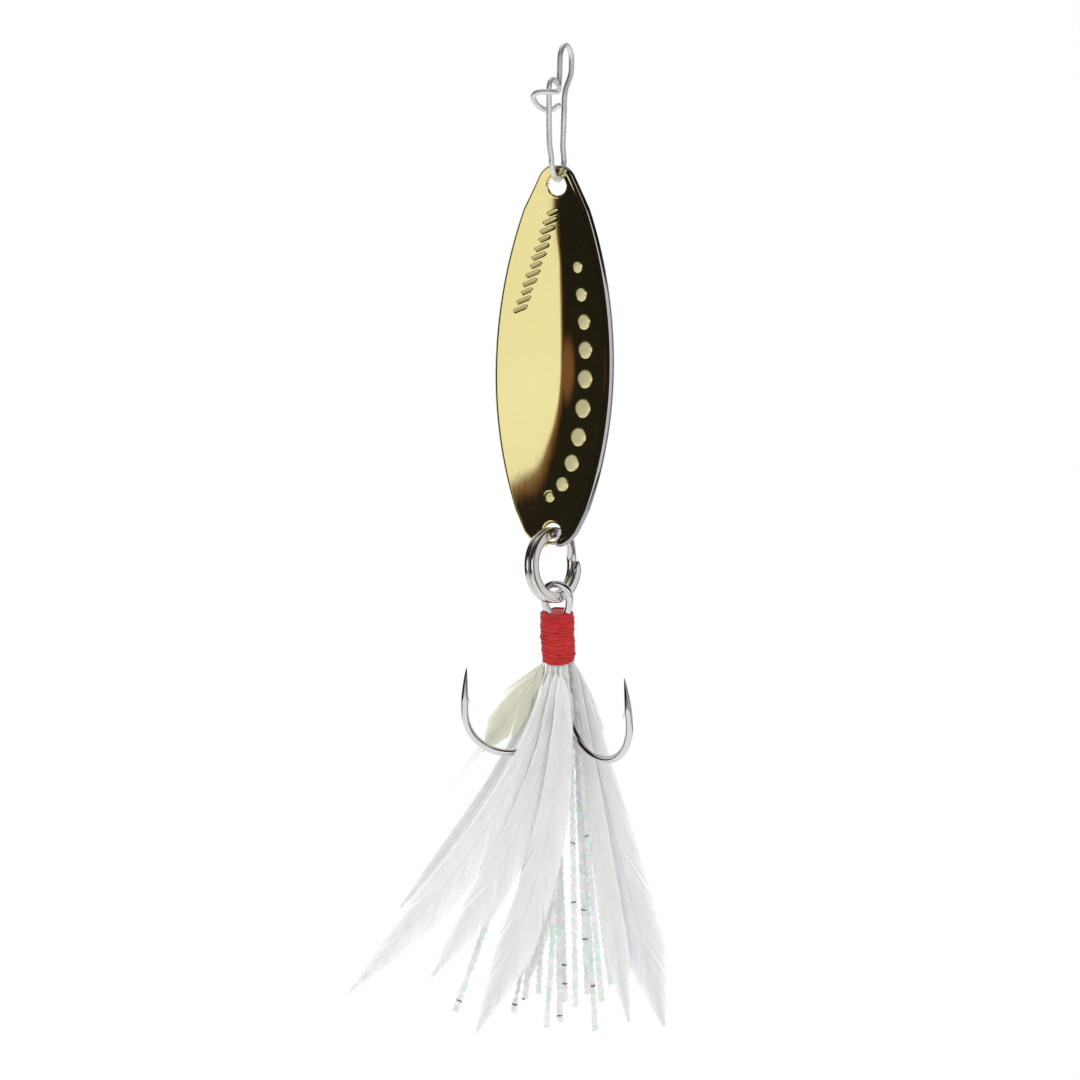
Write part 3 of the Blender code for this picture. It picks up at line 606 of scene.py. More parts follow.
def build_blade():
    x, z, keep, counts = blade_grid()
    flat = dish(x, z)
    inset = from_edge(x, z)
    right = np.clip(x / BEAD_FADE, 0.0, 1.0)
    lift = stamped(x, z) + BEAD_HEIGHT * (np.exp(-(((inset - BEAD_INSET) / BEAD_WIDTH) ** 2)) * right)
    cuts = strokes(x, z)
    front = flat - lift + cuts * STROKE_DEPTH
    back = flat + BLADE_THICKNESS - lift * 0.8 + cuts * STROKE_DEPTH * 0.35
    slope_x = -x / DISH_RADIUS
    slope_z = (dish(x, z + SLOPE_STEP) - dish(x, z - SLOPE_STEP)) / (2 * SLOPE_STEP)
    long = np.sqrt(1 + slope_x**2 + slope_z**2)
    nx, ny, nz = -slope_x / long, 1 / long, -slope_z / long
    thick = back - flat
    used = counts > 0
    total = int(used.sum())
    index = -np.ones(x.shape, dtype=int)
    index[used] = np.arange(total)
    front_points = np.stack([x, front, z], axis=-1)[used]
    back_points = np.stack([x + nx * thick, flat + ny * thick, z + nz * thick], axis=-1)[used]
    quads = [(index[i, j], index[i + 1, j], index[i + 1, j + 1], index[i, j + 1])
             for i in range(BLADE_ROWS) for j in range(BLADE_COLUMNS) if keep[i, j]]
    extra, edge_faces = rounded_edge(quads, front_points, back_points)
    verts = np.concatenate([front_points, back_points, extra])
    faces = quads + [tuple(total + v for v in q[::-1]) for q in quads] + edge_faces
    # Painted reflection tint: a lilac-grey colour on the bead line and the outer rim, on the right half
    # only, where a highlight shows.
    line = np.exp(-(((inset - BEAD_INSET) / 0.07) ** 2))
    rim = np.exp(-((inset / 0.17) ** 2))
    wear_and_rim_reflection = np.maximum(line, rim) * right
    # The third channel carries the brown painted shade of the strokes.
    marks = np.stack([bump_share(x, z), wear_and_rim_reflection, cuts], axis=-1)[used]
    plain = (0.0, 0.0, 0.0, 1.0)
    tints = [(float(a), float(b), float(c), 1.0) for a, b, c in marks] + [plain] * total
    # The rounded edge of the right half gets the painted reflection tint as well.
    tints += [(0.0, 1.0 if v[0] > 0 else 0.0, 0.0, 1.0) for v in extra]
    place = blade_matrix()
    turned = np.array([tuple(place @ Vector(v)) for v in verts])
    made = finish_mesh("spoon_blade_visual", turned, faces, gold_look(), "blade", ["spoon_blade"],
                       tints=tints)
    work = bmesh.new()
    work.from_mesh(made.data)
    bmesh.ops.recalc_face_normals(work, faces=work.faces)
    work.to_mesh(made.data)
    work.free()


# ------------------------------------------------------------------ split ring

RING_RADIUS = 2.55
RING_RADIAL = 0.9
RING_COIL = 0.47
RING_GAP = 0.03
STEP_FROM = math.radians(100.0)
STEP = math.radians(45.0)
END_GAP = math.radians(3.0)
RING_STEPS = 300
SECTION_POINTS = 28
SECTION_POWER = 0.62
TAPER_STEPS = 7.0


def build_ring():
    """Two turns of flat wire, with a step between them where the ring opens."""
    skin = Skin()
    pitch = RING_COIL + RING_GAP
    start = STEP_FROM + STEP + END_GAP
    total = 4 * math.pi - STEP - 2 * END_GAP
    half, deep = RING_RADIAL / 2, RING_COIL / 2
    section = []
    for a, b in circle(SECTION_POINTS):
        section.append((half * math.copysign(abs(a) ** SECTION_POWER, a),
                        deep * math.copysign(abs(b) ** SECTION_POWER, b)))
    rings = []
    for i in range(RING_STEPS + 1):
        turn = start + total * i / RING_STEPS
        gone = (turn - STEP_FROM - 2 * math.pi) / STEP
        rise = min(1.0, max(0.0, gone))
        side = (rise * rise * (3 - 2 * rise) - 0.5) * pitch
        out = RING_ACROSS * math.sin(turn) - UP * math.cos(turn)
        spot = RING_CENTRE + RING_AXIS * side + out * RING_RADIUS
        shrink = 1.0 - 0.55 * max(0.0, 1 - min(i, RING_STEPS - i) / TAPER_STEPS) ** 1.6
        rings.append([spot + out * (a * shrink) + RING_AXIS * (b * shrink) for a, b in section])
    skin.rings(rings)
    look = plated("bright_ring_plate", (0.86, 0.85, 0.83), (0.78, 0.76, 0.74), 0.14,
                  (1.0, 1.0, 1.0), 0.000002)
    finish_mesh("split_ring_visual", skin.verts, skin.faces, look, "ring", ["split_ring"])


# ------------------------------------------------------------------ treble

HOOK_RADIUS = 0.3
HOOK_LEG = 0.315
HOOK_THIRD = 0.67
HOOK_BEND = 3.77
HOOK_DEPTH = 8.85
HOOK_RISE = 3.8
HOOK_SPAN = 2 * HOOK_BEND
THIRD_SPAN = HOOK_SPAN - 0.2
HOOK_SIDES = 18
BEND_STEPS = 60
POINT_STEPS = 30
POINT_LEAN = 0.34
POINT_TAPER = 2.6
HOOK_TURNS = (169.7, 49.7, -89.0)
HOOK_EYE_RADIUS = 1.08
HOOK_EYE_LEGS = ((0.93, -0.85), (0.72, -1.35), (0.5, -1.95), (0.36, -2.45))
SHANK_FROM = 3.0
# Along the barb: how far in from the point, how far up it, and the sliver's half width and half depth.
BARB_STATIONS = (
    (-0.20, 1.95, 0.02, 0.02), (-0.26, 1.60, 0.12, 0.07), (-0.34, 1.20, 0.17, 0.13),
    (-0.48, 0.80, 0.15, 0.13), (-0.66, 0.48, 0.10, 0.09), (-0.84, 0.26, 0.02, 0.02),
)
POINT_DARK_FROM = 1.3
POINT_DARK_FADE = 1.6
POINT_DARK_SHARE = 0.62
EYE_ON_RING = math.radians(10.0)
TREBLE_LEAN = math.radians(3.0)
TREBLE_TILT = math.radians(19.0)
EYE = RING_CENTRE + (RING_ACROSS * math.sin(EYE_ON_RING) - UP * math.cos(EYE_ON_RING)) * RING_RADIUS
TREBLE = (Matrix.Translation(EYE) @ Matrix.Rotation(-TREBLE_LEAN, 4, "Y")
          @ Matrix.Rotation(TREBLE_TILT, 4, "X"))


def heading(degrees):
    """A level direction out from the shank."""
    turn = math.radians(degrees)
    return Vector((math.cos(turn), -math.sin(turn), 0.0))


def hook_run(foot, direction, span):
    """The bend and point of one hook, from the foot of its shank, with the wire's radius along it."""
    radius = span / 2
    path, radii = [], []
    for i in range(BEND_STEPS + 1):
        turn = math.pi * i / BEND_STEPS
        out = radius - radius * math.cos(turn)
        path.append(foot + direction * out - UP * (HOOK_DEPTH + radius * math.sin(turn)))
        radii.append(HOOK_RADIUS)
    for i in range(1, POINT_STEPS + 1):
        way = i / POINT_STEPS
        out = span - POINT_LEAN * way**1.6
        path.append(foot + direction * out + UP * (HOOK_RISE * way - HOOK_DEPTH))
        left = HOOK_RISE * (1 - way)
        radii.append(HOOK_RADIUS * (0.03 + 0.97 * min(1.0, left / POINT_TAPER) ** 0.75))
    return path, radii


def barb(skin, foot, direction, span):
    """A sliver cut from the inside of the point and bent away from it."""
    side = Vector((-direction.y, direction.x, 0.0))
    base = foot + direction * span - UP * HOOK_DEPTH
    lean = direction * 0.55 + UP * 0.83
    rings = []
    for inward, rise, wide, deep in BARB_STATIONS:
        spot = base + direction * inward + UP * rise
        rings.append([TREBLE @ (spot + side * (wide * a) + lean * (deep * b)) for a, b in circle(10)])
    skin.rings(rings)


def darken_points(skin):
    """The points are darker than the wire, more so up toward each tip, in shades that run into one another.
    """
    home = TREBLE.inverted()
    for i, vert in enumerate(skin.verts):
        spot = home @ Vector(vert)
        height = spot.z + HOOK_DEPTH
        toward_tip = min(1.0, max(0.0, (height - POINT_DARK_FROM) / POINT_DARK_FADE))
        tone = 1.0 - POINT_DARK_SHARE * toward_tip if math.hypot(spot.x, spot.y) > HOOK_BEND else 1.0
        skin.tints[i] = (tone, tone, tone, 1.0)


def finish_hook(skin, look, piece, node):
    darken_points(skin)
    finish_mesh(piece, skin.verts, skin.faces, look, "treble", [node], tints=skin.tints)


def build_hooks():
    """The double hook, one wire bent over the eye, and the third hook's own wire behind it."""
    left, right, rear = (heading(turn) for turn in HOOK_TURNS)
    base = heading((HOOK_TURNS[0] + HOOK_TURNS[1]) / 2 - 90.0)
    eye = []
    for i in range(17):
        turn = math.pi * i / 16
        eye.append((base * -math.cos(turn) + UP * math.sin(turn)) * HOOK_EYE_RADIUS)
    legs = []
    for sign in (-1, 1):
        leg = [base * (sign * half) + UP * level for half, level in HOOK_EYE_LEGS]
        for i in range(6):
            level = -SHANK_FROM + (SHANK_FROM - HOOK_DEPTH) * i / 6
            leg.append(base * (sign * HOOK_LEG) + UP * level)
        legs.append(leg)
    foot_left, foot_right = base * -HOOK_LEG, base * HOOK_LEG
    run_left, radii_left = hook_run(foot_left, left, HOOK_SPAN)
    run_right, radii_right = hook_run(foot_right, right, HOOK_SPAN)
    middle = through(legs[0][::-1] + eye + legs[1], 3)
    path = run_left[::-1] + middle + run_right
    radii = radii_left[::-1] + [HOOK_RADIUS] * len(middle) + radii_right
    look = plated("dark_hook_steel", (0.86, 0.85, 0.86), (0.76, 0.75, 0.76), 0.09,
                  (1.0, 1.0, 0.3), 0.000003, marked=True)
    skin = Skin()
    tube(skin, [TREBLE @ p for p in path], radii, HOOK_SIDES)
    barb(skin, foot_left, left, HOOK_SPAN)
    barb(skin, foot_right, right, HOOK_SPAN)
    finish_hook(skin, look, "treble_double_visual", "treble_double_hook")
    foot = rear * HOOK_THIRD
    run, radii = hook_run(foot, rear, THIRD_SPAN)
    shank = [foot + UP * (-SHANK_FROM - (HOOK_DEPTH - SHANK_FROM) * i / 12) for i in range(12)]
    skin = Skin()
    tube(skin, [TREBLE @ p for p in shank + run], [HOOK_RADIUS] * len(shank) + radii, HOOK_SIDES)
    barb(skin, foot, rear, THIRD_SPAN)
    finish_hook(skin, look, "treble_third_visual", "treble_third_hook")


WRAP_TOP = -1.3
WRAP_BOTTOM = -5.38
WRAP_RADIUS = 1.36
WRAP_X, WRAP_Y = -0.08, 0.1
CORE_STEPS = 40
CORE_END = 0.62
THREAD_RADIUS = 0.06
TURN_STEPS = 36
# The windings from the inside out: which way each goes and how many turns it makes.
WINDINGS = ((1, 36), (-1, 6), (1, 4))


def wrap_radius(way, turn):
    """The wrap is a little lumpy: it swells over the legs of the eye at the top."""
    over_legs = 0.05 * math.cos(2 * (turn + math.radians(19.7))) * max(0.0, 1 - 3 * way)
    lumps = 0.02 * math.sin(3 * turn + 7 * way) + 0.02 * math.sin(way * 11.0 + turn)
    return WRAP_RADIUS - 0.09 - 0.10 * abs(2 * way - 1) ** 6 + over_legs + lumps


def wrap_point(radius, turn, way):
    level = WRAP_TOP + (WRAP_BOTTOM - WRAP_TOP) * way
    return Vector((WRAP_X + radius * math.cos(turn), WRAP_Y + radius * math.sin(turn), level))


def build_wrap():
    """A solid core with the thread wound over it."""
    skin = Skin()
    core = []
    for i in range(CORE_STEPS + 1):
        way = i / CORE_STEPS
        shrink = CORE_END if i in (0, CORE_STEPS) else 1.0
        turns = [2 * math.pi * j / CORE_STEPS for j in range(CORE_STEPS)]
        core.append([TREBLE @ wrap_point((wrap_radius(way, t) - 0.01) * shrink, t, way) for t in turns])
    skin.rings(core)
    for winding, (sign, count) in enumerate(WINDINGS):
        path = []
        steps = count * TURN_STEPS
        for i in range(steps + 1):
            way = i / steps
            turn = 2 * math.pi * count * way * sign + 1.7 * winding
            wobble = 0.03 * math.sin(turn * 0.31 + 2.0 * winding) + 0.02 * math.sin(turn * 1.7)
            r = wrap_radius(way, turn) + 0.03 * winding + 0.012 * math.sin(turn * 0.53)
            path.append(TREBLE @ (wrap_point(r, turn, 0.015 + 0.97 * way) + UP * wobble))
        tube(skin, path, THREAD_RADIUS, 6)
    finish_mesh("thread_wrap_visual", skin.verts, skin.faces, thread_look(), "treble", ["thread_wrap"])


# ------------------------------------------------------------------ dressing

ROOT_LEVEL = -5.45
SPREAD = 0.12
FEATHER_WIDEST = 0.80
TIP_SETTLE = 0.35
VANE_ROOT = 0.16
SPINE_REACH = 1.26
TINSEL_REACH = 1.0
QUILL_STEPS = 40
QUILL_RADIUS = 0.06
QUILL_TINT = (0.985, 0.985, 0.975, 1.0)
BARB_GAP = 0.062
BARB_PIECES = 8
BARB_WIDTH = 0.125
STRAY_PIECES = 10
STRAY_WIDTH = 0.06
STRAY_TINT = (0.97, 0.97, 0.96, 1.0)
LONG_FEATHER = 10.0
TINSEL_HALF = 0.23
FACET_SHORTEST = 0.20
FACET_LONGEST = 0.46
SPECK_LENGTH = 0.13
SPECK_CHANCE = 0.08
SPECK_TINT = (0.36, 0.34, 0.38, 1.0)
PEARL_CHANCE = 0.25
PEARL_TINTS = ((0.89, 0.98, 0.95, 1.0), (0.98, 0.92, 0.96, 1.0), (0.92, 0.97, 0.90, 1.0))
# One facet's section, front then back: across the strip in half widths, then off it in millimetres.
TINSEL_SECTION = ((-1, 0.01), (0, 0.03), (1, 0.01), (1, -0.01), (0, 0.01), (-1, -0.01))
# Each feather: root across, root depth, tip across, length, spread power, half width, bow.
FEATHERS = (
    ("feather_left_long", -0.95, -1.16, -18.2, 25.2, 1.65, 1.65, -0.22),
    ("feather_left_second", -0.45, -1.40, -11.5, 24.6, 1.8, 1.45, -0.22),
    ("feather_left_third", 0.05, -1.66, -8.2, 29.6, 2.0, 1.6, -0.22),
    ("feather_centre", -0.95, 1.34, -3.9, 27.6, 1.6, 1.6, 0.20),
    ("feather_right_long", 1.00, 0.70, 6.8, 31.7, 1.05, 1.7, 0.05),
    ("feather_right_second", 1.05, 0.27, 4.0, 31.0, 1.1, 0.95, 0.0),
    ("feather_right_short", 0.80, 1.00, 2.6, 8.2, 1.1, 1.1, 0.20),
    ("feather_left_short", -1.45, 0.25, -6.4, 7.4, 1.1, 1.25, 0.12),
    ("feather_left_wisp", -1.35, 0.75, -13.8, 21.3, 1.4, 0.5, 0.20),
)
# Each strand: root across, root depth, tip across, length, spread power, bow.
TINSEL = (
    (-1.00, -0.82, -9.8, 28.0, 1.35, -0.22),
    (-0.60, -0.72, -6.4, 27.4, 1.3, -0.22),
    (-0.20, -0.70, -5.2, 28.7, 1.5, -0.22),
    (0.05, -0.87, -2.6, 30.3, 1.4, -0.22),
    (-0.85, 0.72, -3.1, 28.2, 1.3, 0.0),
    (-0.76, 0.60, -1.5, 30.7, 1.6, 0.0),
    (-0.66, 1.03, -1.0, 29.1, 1.6, 0.0),
    (0.97, 0.01, 1.9, 28.9, 1.1, 0.0),
    (1.00, 0.14, 0.8, 28.2, 1.2, 0.0),
    (1.00, 0.42, 2.7, 27.6, 1.2, 0.0),
    (0.66, -1.24, -0.2, 28.7, 1.2, 0.0),
    (0.98, 0.56, 1.3, 31.6, 1.5, 0.0),
    (-0.80, 0.90, -4.2, 28.7, 1.3, 0.0),
)


def strand_point(way, root, depth, tip, length, power, bow, reach):
    """A point down a feather or strand. Inside the wrap it is drawn in to the reach from the middle."""
    pinch = min(1.0, reach / math.hypot(root - WRAP_X, depth - WRAP_Y))
    across = root + (tip - root) * way**power
    back = depth + math.copysign(bow, bow * tip) * (across - root)
    loose = min(1.0, way / SPREAD)
    share = pinch + (1.0 - pinch) * loose * loose * (3 - 2 * loose)
    return Vector((WRAP_X + (across - WRAP_X) * share, WRAP_Y + (back - WRAP_Y) * share,
                   ROOT_LEVEL - length * way))


def vane(way):
    """The share of its half width that a feather has partway down: a long fan, then a point."""
    if way < FEATHER_WIDEST:
        return VANE_ROOT + (1 - VANE_ROOT) * math.sin(math.pi / 2 * way / FEATHER_WIDEST) ** 0.8
    return max(0.0, 1.0 - (way - FEATHER_WIDEST) / (1 - FEATHER_WIDEST)) ** 0.85


def barb_reach(way, opening, half, length):
    """How far a barb runs before it meets the edge of the vane."""
    low, high = 0.0, (1.0 - way) * length / math.cos(opening)
    for _ in range(14):
        middle = 0.5 * (low + high)
        if middle * math.sin(opening) < half * vane(way + middle * math.cos(opening) / length):
            low = middle
        else:
            high = middle
    return low


def ribbon(skin, path, normal, widths, tint):
    """A thin flat barb: one strip of quads, seen from both sides."""
    base = len(skin.verts)
    count = len(path)
    for i, spot in enumerate(path):
        run = path[min(i + 1, count - 1)] - path[max(i - 1, 0)]
        side = run.cross(normal)
        side = side.normalized() * (widths[i] / 2)
        skin.verts.append(TREBLE @ (spot - side))
        skin.verts.append(TREBLE @ (spot + side))
        skin.tints.extend([tint, tint])
    for i in range(count - 1):
        a = base + 2 * i
        skin.faces.append((a, a + 1, a + 3, a + 2))


def build_feather(name, root, depth, tip, length, power, half, bow, look, shade, loose):
    """A quill with barbs on both sides in clumps, and a number of loose barbs that stray from it."""
    layer = Vector((-math.copysign(bow, bow * tip), 1.0, 0.0)).normalized()
    skin = Skin()

    def spine(way):
        return strand_point(max(0.0, min(1.0, way)), root, depth, tip, length, power, bow, SPINE_REACH)

    def across(way, step, sign):
        """The spine's direction at a point and the direction out to one side of it."""
        run = (spine(way + step) - spine(way - step)).normalized()
        return run, run.cross(layer).normalized() * sign

    quill = [spine(i / QUILL_STEPS) for i in range(QUILL_STEPS + 1)]
    radii = [QUILL_RADIUS * (1 - 0.85 * i / QUILL_STEPS) for i in range(QUILL_STEPS + 1)]
    tube(skin, [TREBLE @ p for p in quill], radii, 6, tint=QUILL_TINT)
    count = int(length / BARB_GAP)
    for sign in (-1, 1):
        clump, clump_left = 0.0, 0
        for i in range(count):
            way = 0.02 + 0.975 * (i + rng.random() * 0.5) / count
            if clump_left <= 0:
                clump_left = rng.randint(6, 26)
                clump = rng.uniform(-1.0, 1.0)
            clump_left -= 1
            run, side = across(way, 0.01, sign)
            opening = math.radians(20.5 - 3.0 * way + 1.2 * clump)
            reach = barb_reach(way, opening, half, length) * (1.0 + 0.03 * clump)
            reach = reach * rng.uniform(0.95, 1.03) + 0.12
            lift = (rng.uniform(-0.07, 0.07) + 0.04 * clump) * min(1.0, (1.0 - way) / TIP_SETTLE)
            path, widths = [spine(way)], [BARB_WIDTH]
            for k in range(1, BARB_PIECES + 1):
                s = k / BARB_PIECES
                angle = opening * (1.25 - 0.5 * s)
                ahead = run * math.cos(angle) + side * math.sin(angle)
                path.append(path[-1] + ahead * (reach / BARB_PIECES) + layer * (lift * 2 * s / BARB_PIECES))
                widths.append(BARB_WIDTH * (1 - 0.85 * s**2.2))
            tone = rng.uniform(0.965, 1.0)
            ribbon(skin, path, layer, widths, (*(c * tone for c in shade), 1.0))
    is_long = length > LONG_FEATHER
    for i in range(loose):
        way = rng.uniform(0.35, 0.9) if is_long else rng.uniform(0.55, 0.98)
        run, side = across(way, 0.02, 1)
        side = side if side.x * tip > 0 else -side
        stray = rng.uniform(2.5, 5.5) if is_long else rng.uniform(3.5, 6.5)
        path, widths = [spine(way)], [STRAY_WIDTH]
        for k in range(1, STRAY_PIECES + 1):
            s = k / STRAY_PIECES
            angle = math.radians(20.0 if is_long else 9.0) * (1.0 - 0.5 * s)
            ahead = run * math.cos(angle) + side * math.sin(angle)
            path.append(path[-1] + ahead * (stray / STRAY_PIECES))
            widths.append(STRAY_WIDTH * (1 - 0.8 * s))
        ribbon(skin, path, layer, widths, STRAY_TINT)
    finish_mesh(name + "_visual", skin.verts, skin.faces, look, "treble", [name],
                tints=skin.tints)


def build_tinsel(number, strand, look):
    """A crinkled strip: short flat facets, each turned a little from the last."""
    root, depth, tip, length, power, bow = strand
    skin = Skin()
    local = random.Random(100 + number)
    spots, angles, specks = [], [], []
    way = 0.0
    zig = 1
    turn = local.uniform(-0.5, 0.5)
    while way < 1.0:
        spot = strand_point(way, root, depth, tip, length, power, bow, TINSEL_REACH)
        grow = min(1.0, way / 0.2)
        spot += Vector((zig * local.uniform(0.01, 0.07) * grow, local.uniform(-0.04, 0.04) * grow, 0.0))
        spots.append(spot)
        turn = 0.55 * turn + local.uniform(-0.6, 0.6)
        angles.append(turn)
        zig = -zig
        speck = local.random() < SPECK_CHANCE * way**3
        specks.append(speck)
        way += (SPECK_LENGTH if speck else local.uniform(FACET_SHORTEST, FACET_LONGEST)) / length
    spots.append(strand_point(1.0, root, depth, tip, length, power, bow, TINSEL_REACH))
    angles.append(turn)
    placed = list(frames(spots, Vector((1.0, 0.0, 0.0))))
    for i in range(len(placed) - 1):
        tone = local.uniform(0.95, 1.0)
        tint = (tone, tone, tone, 1.0)
        if specks[i]:
            tint = SPECK_TINT
        elif local.random() < PEARL_CHANCE:
            tint = local.choice(PEARL_TINTS)
        ends = []
        for (spot, run, a, b), angle in (
                (placed[i], angles[i]), (placed[i + 1], 0.5 * (angles[i] + angles[i + 1]))):
            flat = a * math.cos(angle) + b * math.sin(angle)
            up = b * math.cos(angle) - a * math.sin(angle)
            ends.append([TREBLE @ (spot + flat * (x * TINSEL_HALF) + up * y) for x, y in TINSEL_SECTION])
        skin.rings(ends, tint=tint)
    name = f"tinsel_strand_{number + 1:02d}"
    finish_mesh(name + "_visual", skin.verts, skin.faces, look, "treble", [name],
                smooth=False, tints=skin.tints)


build_snap()
build_blade()
build_ring()
build_hooks()
build_wrap()
SHADES = {"feather_left_short": (0.95, 0.95, 0.86), "feather_right_long": (0.99, 0.985, 1.0)}
LOOSE = {
    "feather_left_short": 14, "feather_left_wisp": 3, "feather_right_long": 4, "feather_left_long": 3,
}
hackle = hackle_look()
for feather in FEATHERS:
    build_feather(*feather, hackle, SHADES.get(feather[0], WHITE[:3]), LOOSE.get(feather[0], 0))
pearl = pearl_look()
for number, strand in enumerate(TINSEL):
    build_tinsel(number, strand, pearl)

# ------------------------------------------------------------------ floor, light, camera

scene = bpy.context.scene
FLOOR_LEVEL = -0.16
FLOOR_HALF = 1.5
FLOOR_SIDES = 64
floor_mesh = bpy.data.meshes.new("floor")
rim = [(FLOOR_HALF * a, FLOOR_HALF * b, FLOOR_LEVEL) for a, b in circle(FLOOR_SIDES)]
floor_mesh.from_pydata(rim, [], [tuple(range(FLOOR_SIDES))])
floor = bpy.data.objects.new("floor", floor_mesh)
scene.collection.objects.link(floor)
floor.visible_glossy = False
paper = Look("pale_paper")
grain = paper.noise(60.0, 4.0)
paper.set(Base_Color=paper.patchy(grain, 0.3, 0.7, (0.90, 0.90, 0.90), (0.87, 0.87, 0.87)))
paper.set(Roughness=0.9)
paper.set(Normal=paper.bump(grain, 0.0001, 0.2))
floor_mesh.materials.append(paper.material)

world = bpy.data.worlds.new("studio")
scene.world = world
world.use_nodes = True
tree = world.node_tree
sky = tree.nodes["Background"]
out = tree.nodes["World Output"]


def node(kind, inputs=None, **settings):
    made = tree.nodes.new(kind)
    for key, value in settings.items():
        setattr(made, key, value)
    for key, value in (inputs or {}).items():
        if isinstance(value, bpy.types.NodeSocket):
            tree.links.new(value, made.inputs[key])
        else:
            made.inputs[key].default_value = value
    return made


def calc(operation, a, b=0.0):
    return node("ShaderNodeMath", {0: a, 1: b}, operation=operation).outputs[0]


def ease(value, low, high, to_low=0.0, to_high=1.0):
    return node("ShaderNodeMapRange", {
        "Value": value, "From Min": low, "From Max": high, "To Min": to_low, "To Max": to_high},
        interpolation_type="SMOOTHSTEP").outputs[0]


def share(value, centre, size):
    """How far a direction is past a corner's centre, as a share of the corner's size."""
    return calc("MAXIMUM", calc("DIVIDE", calc("SUBTRACT", value, centre), size), 0.0)


def away(across, up):
    return calc("SQRT", calc("ADD", calc("MULTIPLY", across, across), calc("MULTIPLY", up, up)))


# What polished metal reflects, by direction in degrees: turn goes right from straight ahead of the
# lure, and rise goes up from level. A bright panel in front has rounded left corners, which fade
# through brown into the dark. Pale cards and soft light to the sides, above and below do the rest.
TOP_CORNER = (-13.5, 1.0)
TOP_CORNER_SIZE = (-30.0, 12.0)
LOW_CORNER = (-23.0, -10.5)
LOW_CORNER_SIZE = (-21.0, -3.7)
LOW_SLANT = 0.06
PATCH = (-51.0, 1.2)
PATCH_SIZE = (9.0, 3.9)
PANEL_RIGHT = (46.0, 58.0)
CARD_TURN = 98.0
CARD_STRENGTH = 0.72
DARK = (0.016, 0.014, 0.013, 1.0)
BROWN = (0.23, 0.110, 0.058, 1.0)

direction = node("ShaderNodeTexCoord").outputs["Generated"]
right, ahead, up = node("ShaderNodeSeparateXYZ", {0: direction}).outputs[:3]
turn = calc("MULTIPLY", calc("ARCTAN2", right, calc("MULTIPLY", ahead, -1.0)), 180 / math.pi)
rise = calc("MULTIPLY", calc("ARCSINE", up), 180 / math.pi)
top_corner = away(share(turn, TOP_CORNER[0], TOP_CORNER_SIZE[0]),
                  share(rise, TOP_CORNER[1], TOP_CORNER_SIZE[1]))
past_low = calc("SUBTRACT", turn, LOW_CORNER[0])
slanted = calc("ADD", rise, calc("MULTIPLY", past_low, LOW_SLANT))
low_corner = away(share(turn, LOW_CORNER[0], LOW_CORNER_SIZE[0]),
                  share(slanted, LOW_CORNER[1], LOW_CORNER_SIZE[1]))
panel = ease(calc("MAXIMUM", top_corner, low_corner), 0.94, 1.03, 1.0, 0.0)
brown = calc("MINIMUM", ease(top_corner, 1.0, 1.22, 1.0, 0.0), ease(low_corner, 1.0, 1.12, 1.0, 0.0))
brown = calc("MULTIPLY", brown, ease(turn, *PANEL_RIGHT, 1.0, 0.15))
patch_across = calc("DIVIDE", calc("SUBTRACT", turn, PATCH[0]), PATCH_SIZE[0])
patch_up = calc("DIVIDE", calc("SUBTRACT", rise, PATCH[1]), PATCH_SIZE[1])
brown = calc("MAXIMUM", brown, ease(away(patch_across, patch_up), 0.55, 1.3, 0.8, 0.0))
card_away = calc("ABSOLUTE", calc("SUBTRACT", turn, CARD_TURN))
card = calc("MULTIPLY", ease(card_away, 10.0, 17.0, CARD_STRENGTH, 0.0),
            ease(calc("ABSOLUTE", rise), 12.0, 20.0, 1.0, 0.0))
right_back = ease(turn, 122.0, 140.0, 0.0, 0.85)
left_back = ease(turn, -128.0, -114.0, 0.9, 0.0)
below = ease(rise, -26.0, -19.0, 0.85, 0.0)
above = ease(rise, 48.0, 70.0, 0.0, 0.45)
bright = calc("MULTIPLY", panel, ease(turn, *PANEL_RIGHT, 1.0, 0.10))
for other in (right_back, left_back, below, above, card):
    bright = calc("MAXIMUM", bright, other)


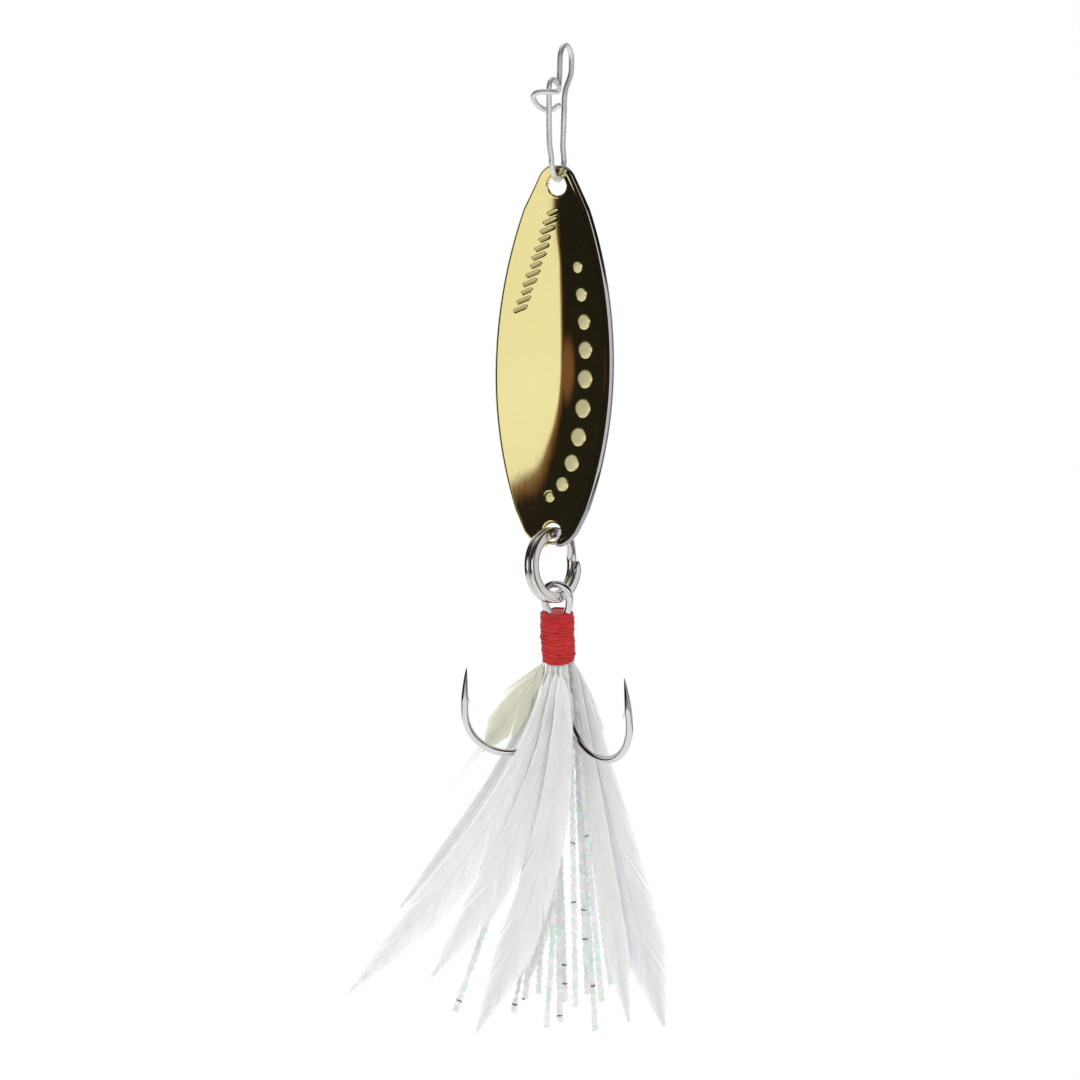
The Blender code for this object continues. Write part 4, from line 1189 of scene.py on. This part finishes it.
def blend(share, low, high):
    """A colour that goes from low to high; low is a colour or the output of another node."""
    made = node("ShaderNodeMix", {0: share, 6: low, 7: high}, data_type="RGBA")
    return made.outputs[2]


tree.links.new(blend(bright, blend(brown, DARK, BROWN), WHITE), sky.inputs["Color"])
sky.inputs["Strength"].default_value = 1.0
even = node("ShaderNodeBackground", {"Color": WHITE, "Strength": 0.98})
white = node("ShaderNodeBackground", {"Color": WHITE, "Strength": 1.0})
rays = node("ShaderNodeLightPath").outputs
soft = node("ShaderNodeMixShader", {0: rays["Is Glossy Ray"], 1: even.outputs[0], 2: sky.outputs[0]})
seen = node("ShaderNodeMixShader", {0: rays["Is Camera Ray"], 1: soft.outputs[0], 2: white.outputs[0]})
tree.links.new(seen.outputs[0], out.inputs["Surface"])


def area(name, place, size, watts, colour):
    """A round soft light turned to the middle of the lure. Metal doesn't reflect it."""
    light = bpy.data.lights.new(name, "AREA")
    light.shape = "DISK"
    light.size = size
    light.energy = watts
    light.color = colour
    made = bpy.data.objects.new(name, light)
    made.location = place
    made.rotation_euler = (Vector(MIDDLE) - Vector(place)).to_track_quat("-Z", "Y").to_euler()
    made.visible_glossy = False
    scene.collection.objects.link(made)


MIDDLE = (-0.002, 0.0, -0.042)
area("key", (-0.20, -0.45, 0.30), 0.25, 0.8, (1.0, 0.985, 0.96))
area("fill", (0.40, -0.30, 0.05), 0.30, 0.25, (0.96, 0.98, 1.0))

# The lure hangs square on to a long lens 0.9 m away.
CAMERA_PLACE = (-0.00205, -0.9, -0.03874)
CAMERA_LENS = 381.0
CAMERA_SENSOR = 36.0
camera_data = bpy.data.cameras.new("camera")
camera_data.sensor_width = CAMERA_SENSOR
camera_data.lens = CAMERA_LENS
camera_data.clip_start = 0.05
camera_data.clip_end = 20.0
camera = bpy.data.objects.new("camera", camera_data)
camera.location = CAMERA_PLACE
camera.rotation_euler = (math.pi / 2, 0.0, 0.0)
scene.collection.objects.link(camera)
scene.camera = camera
scene.view_settings.view_transform = "Standard"
scene.view_settings.look = "None"
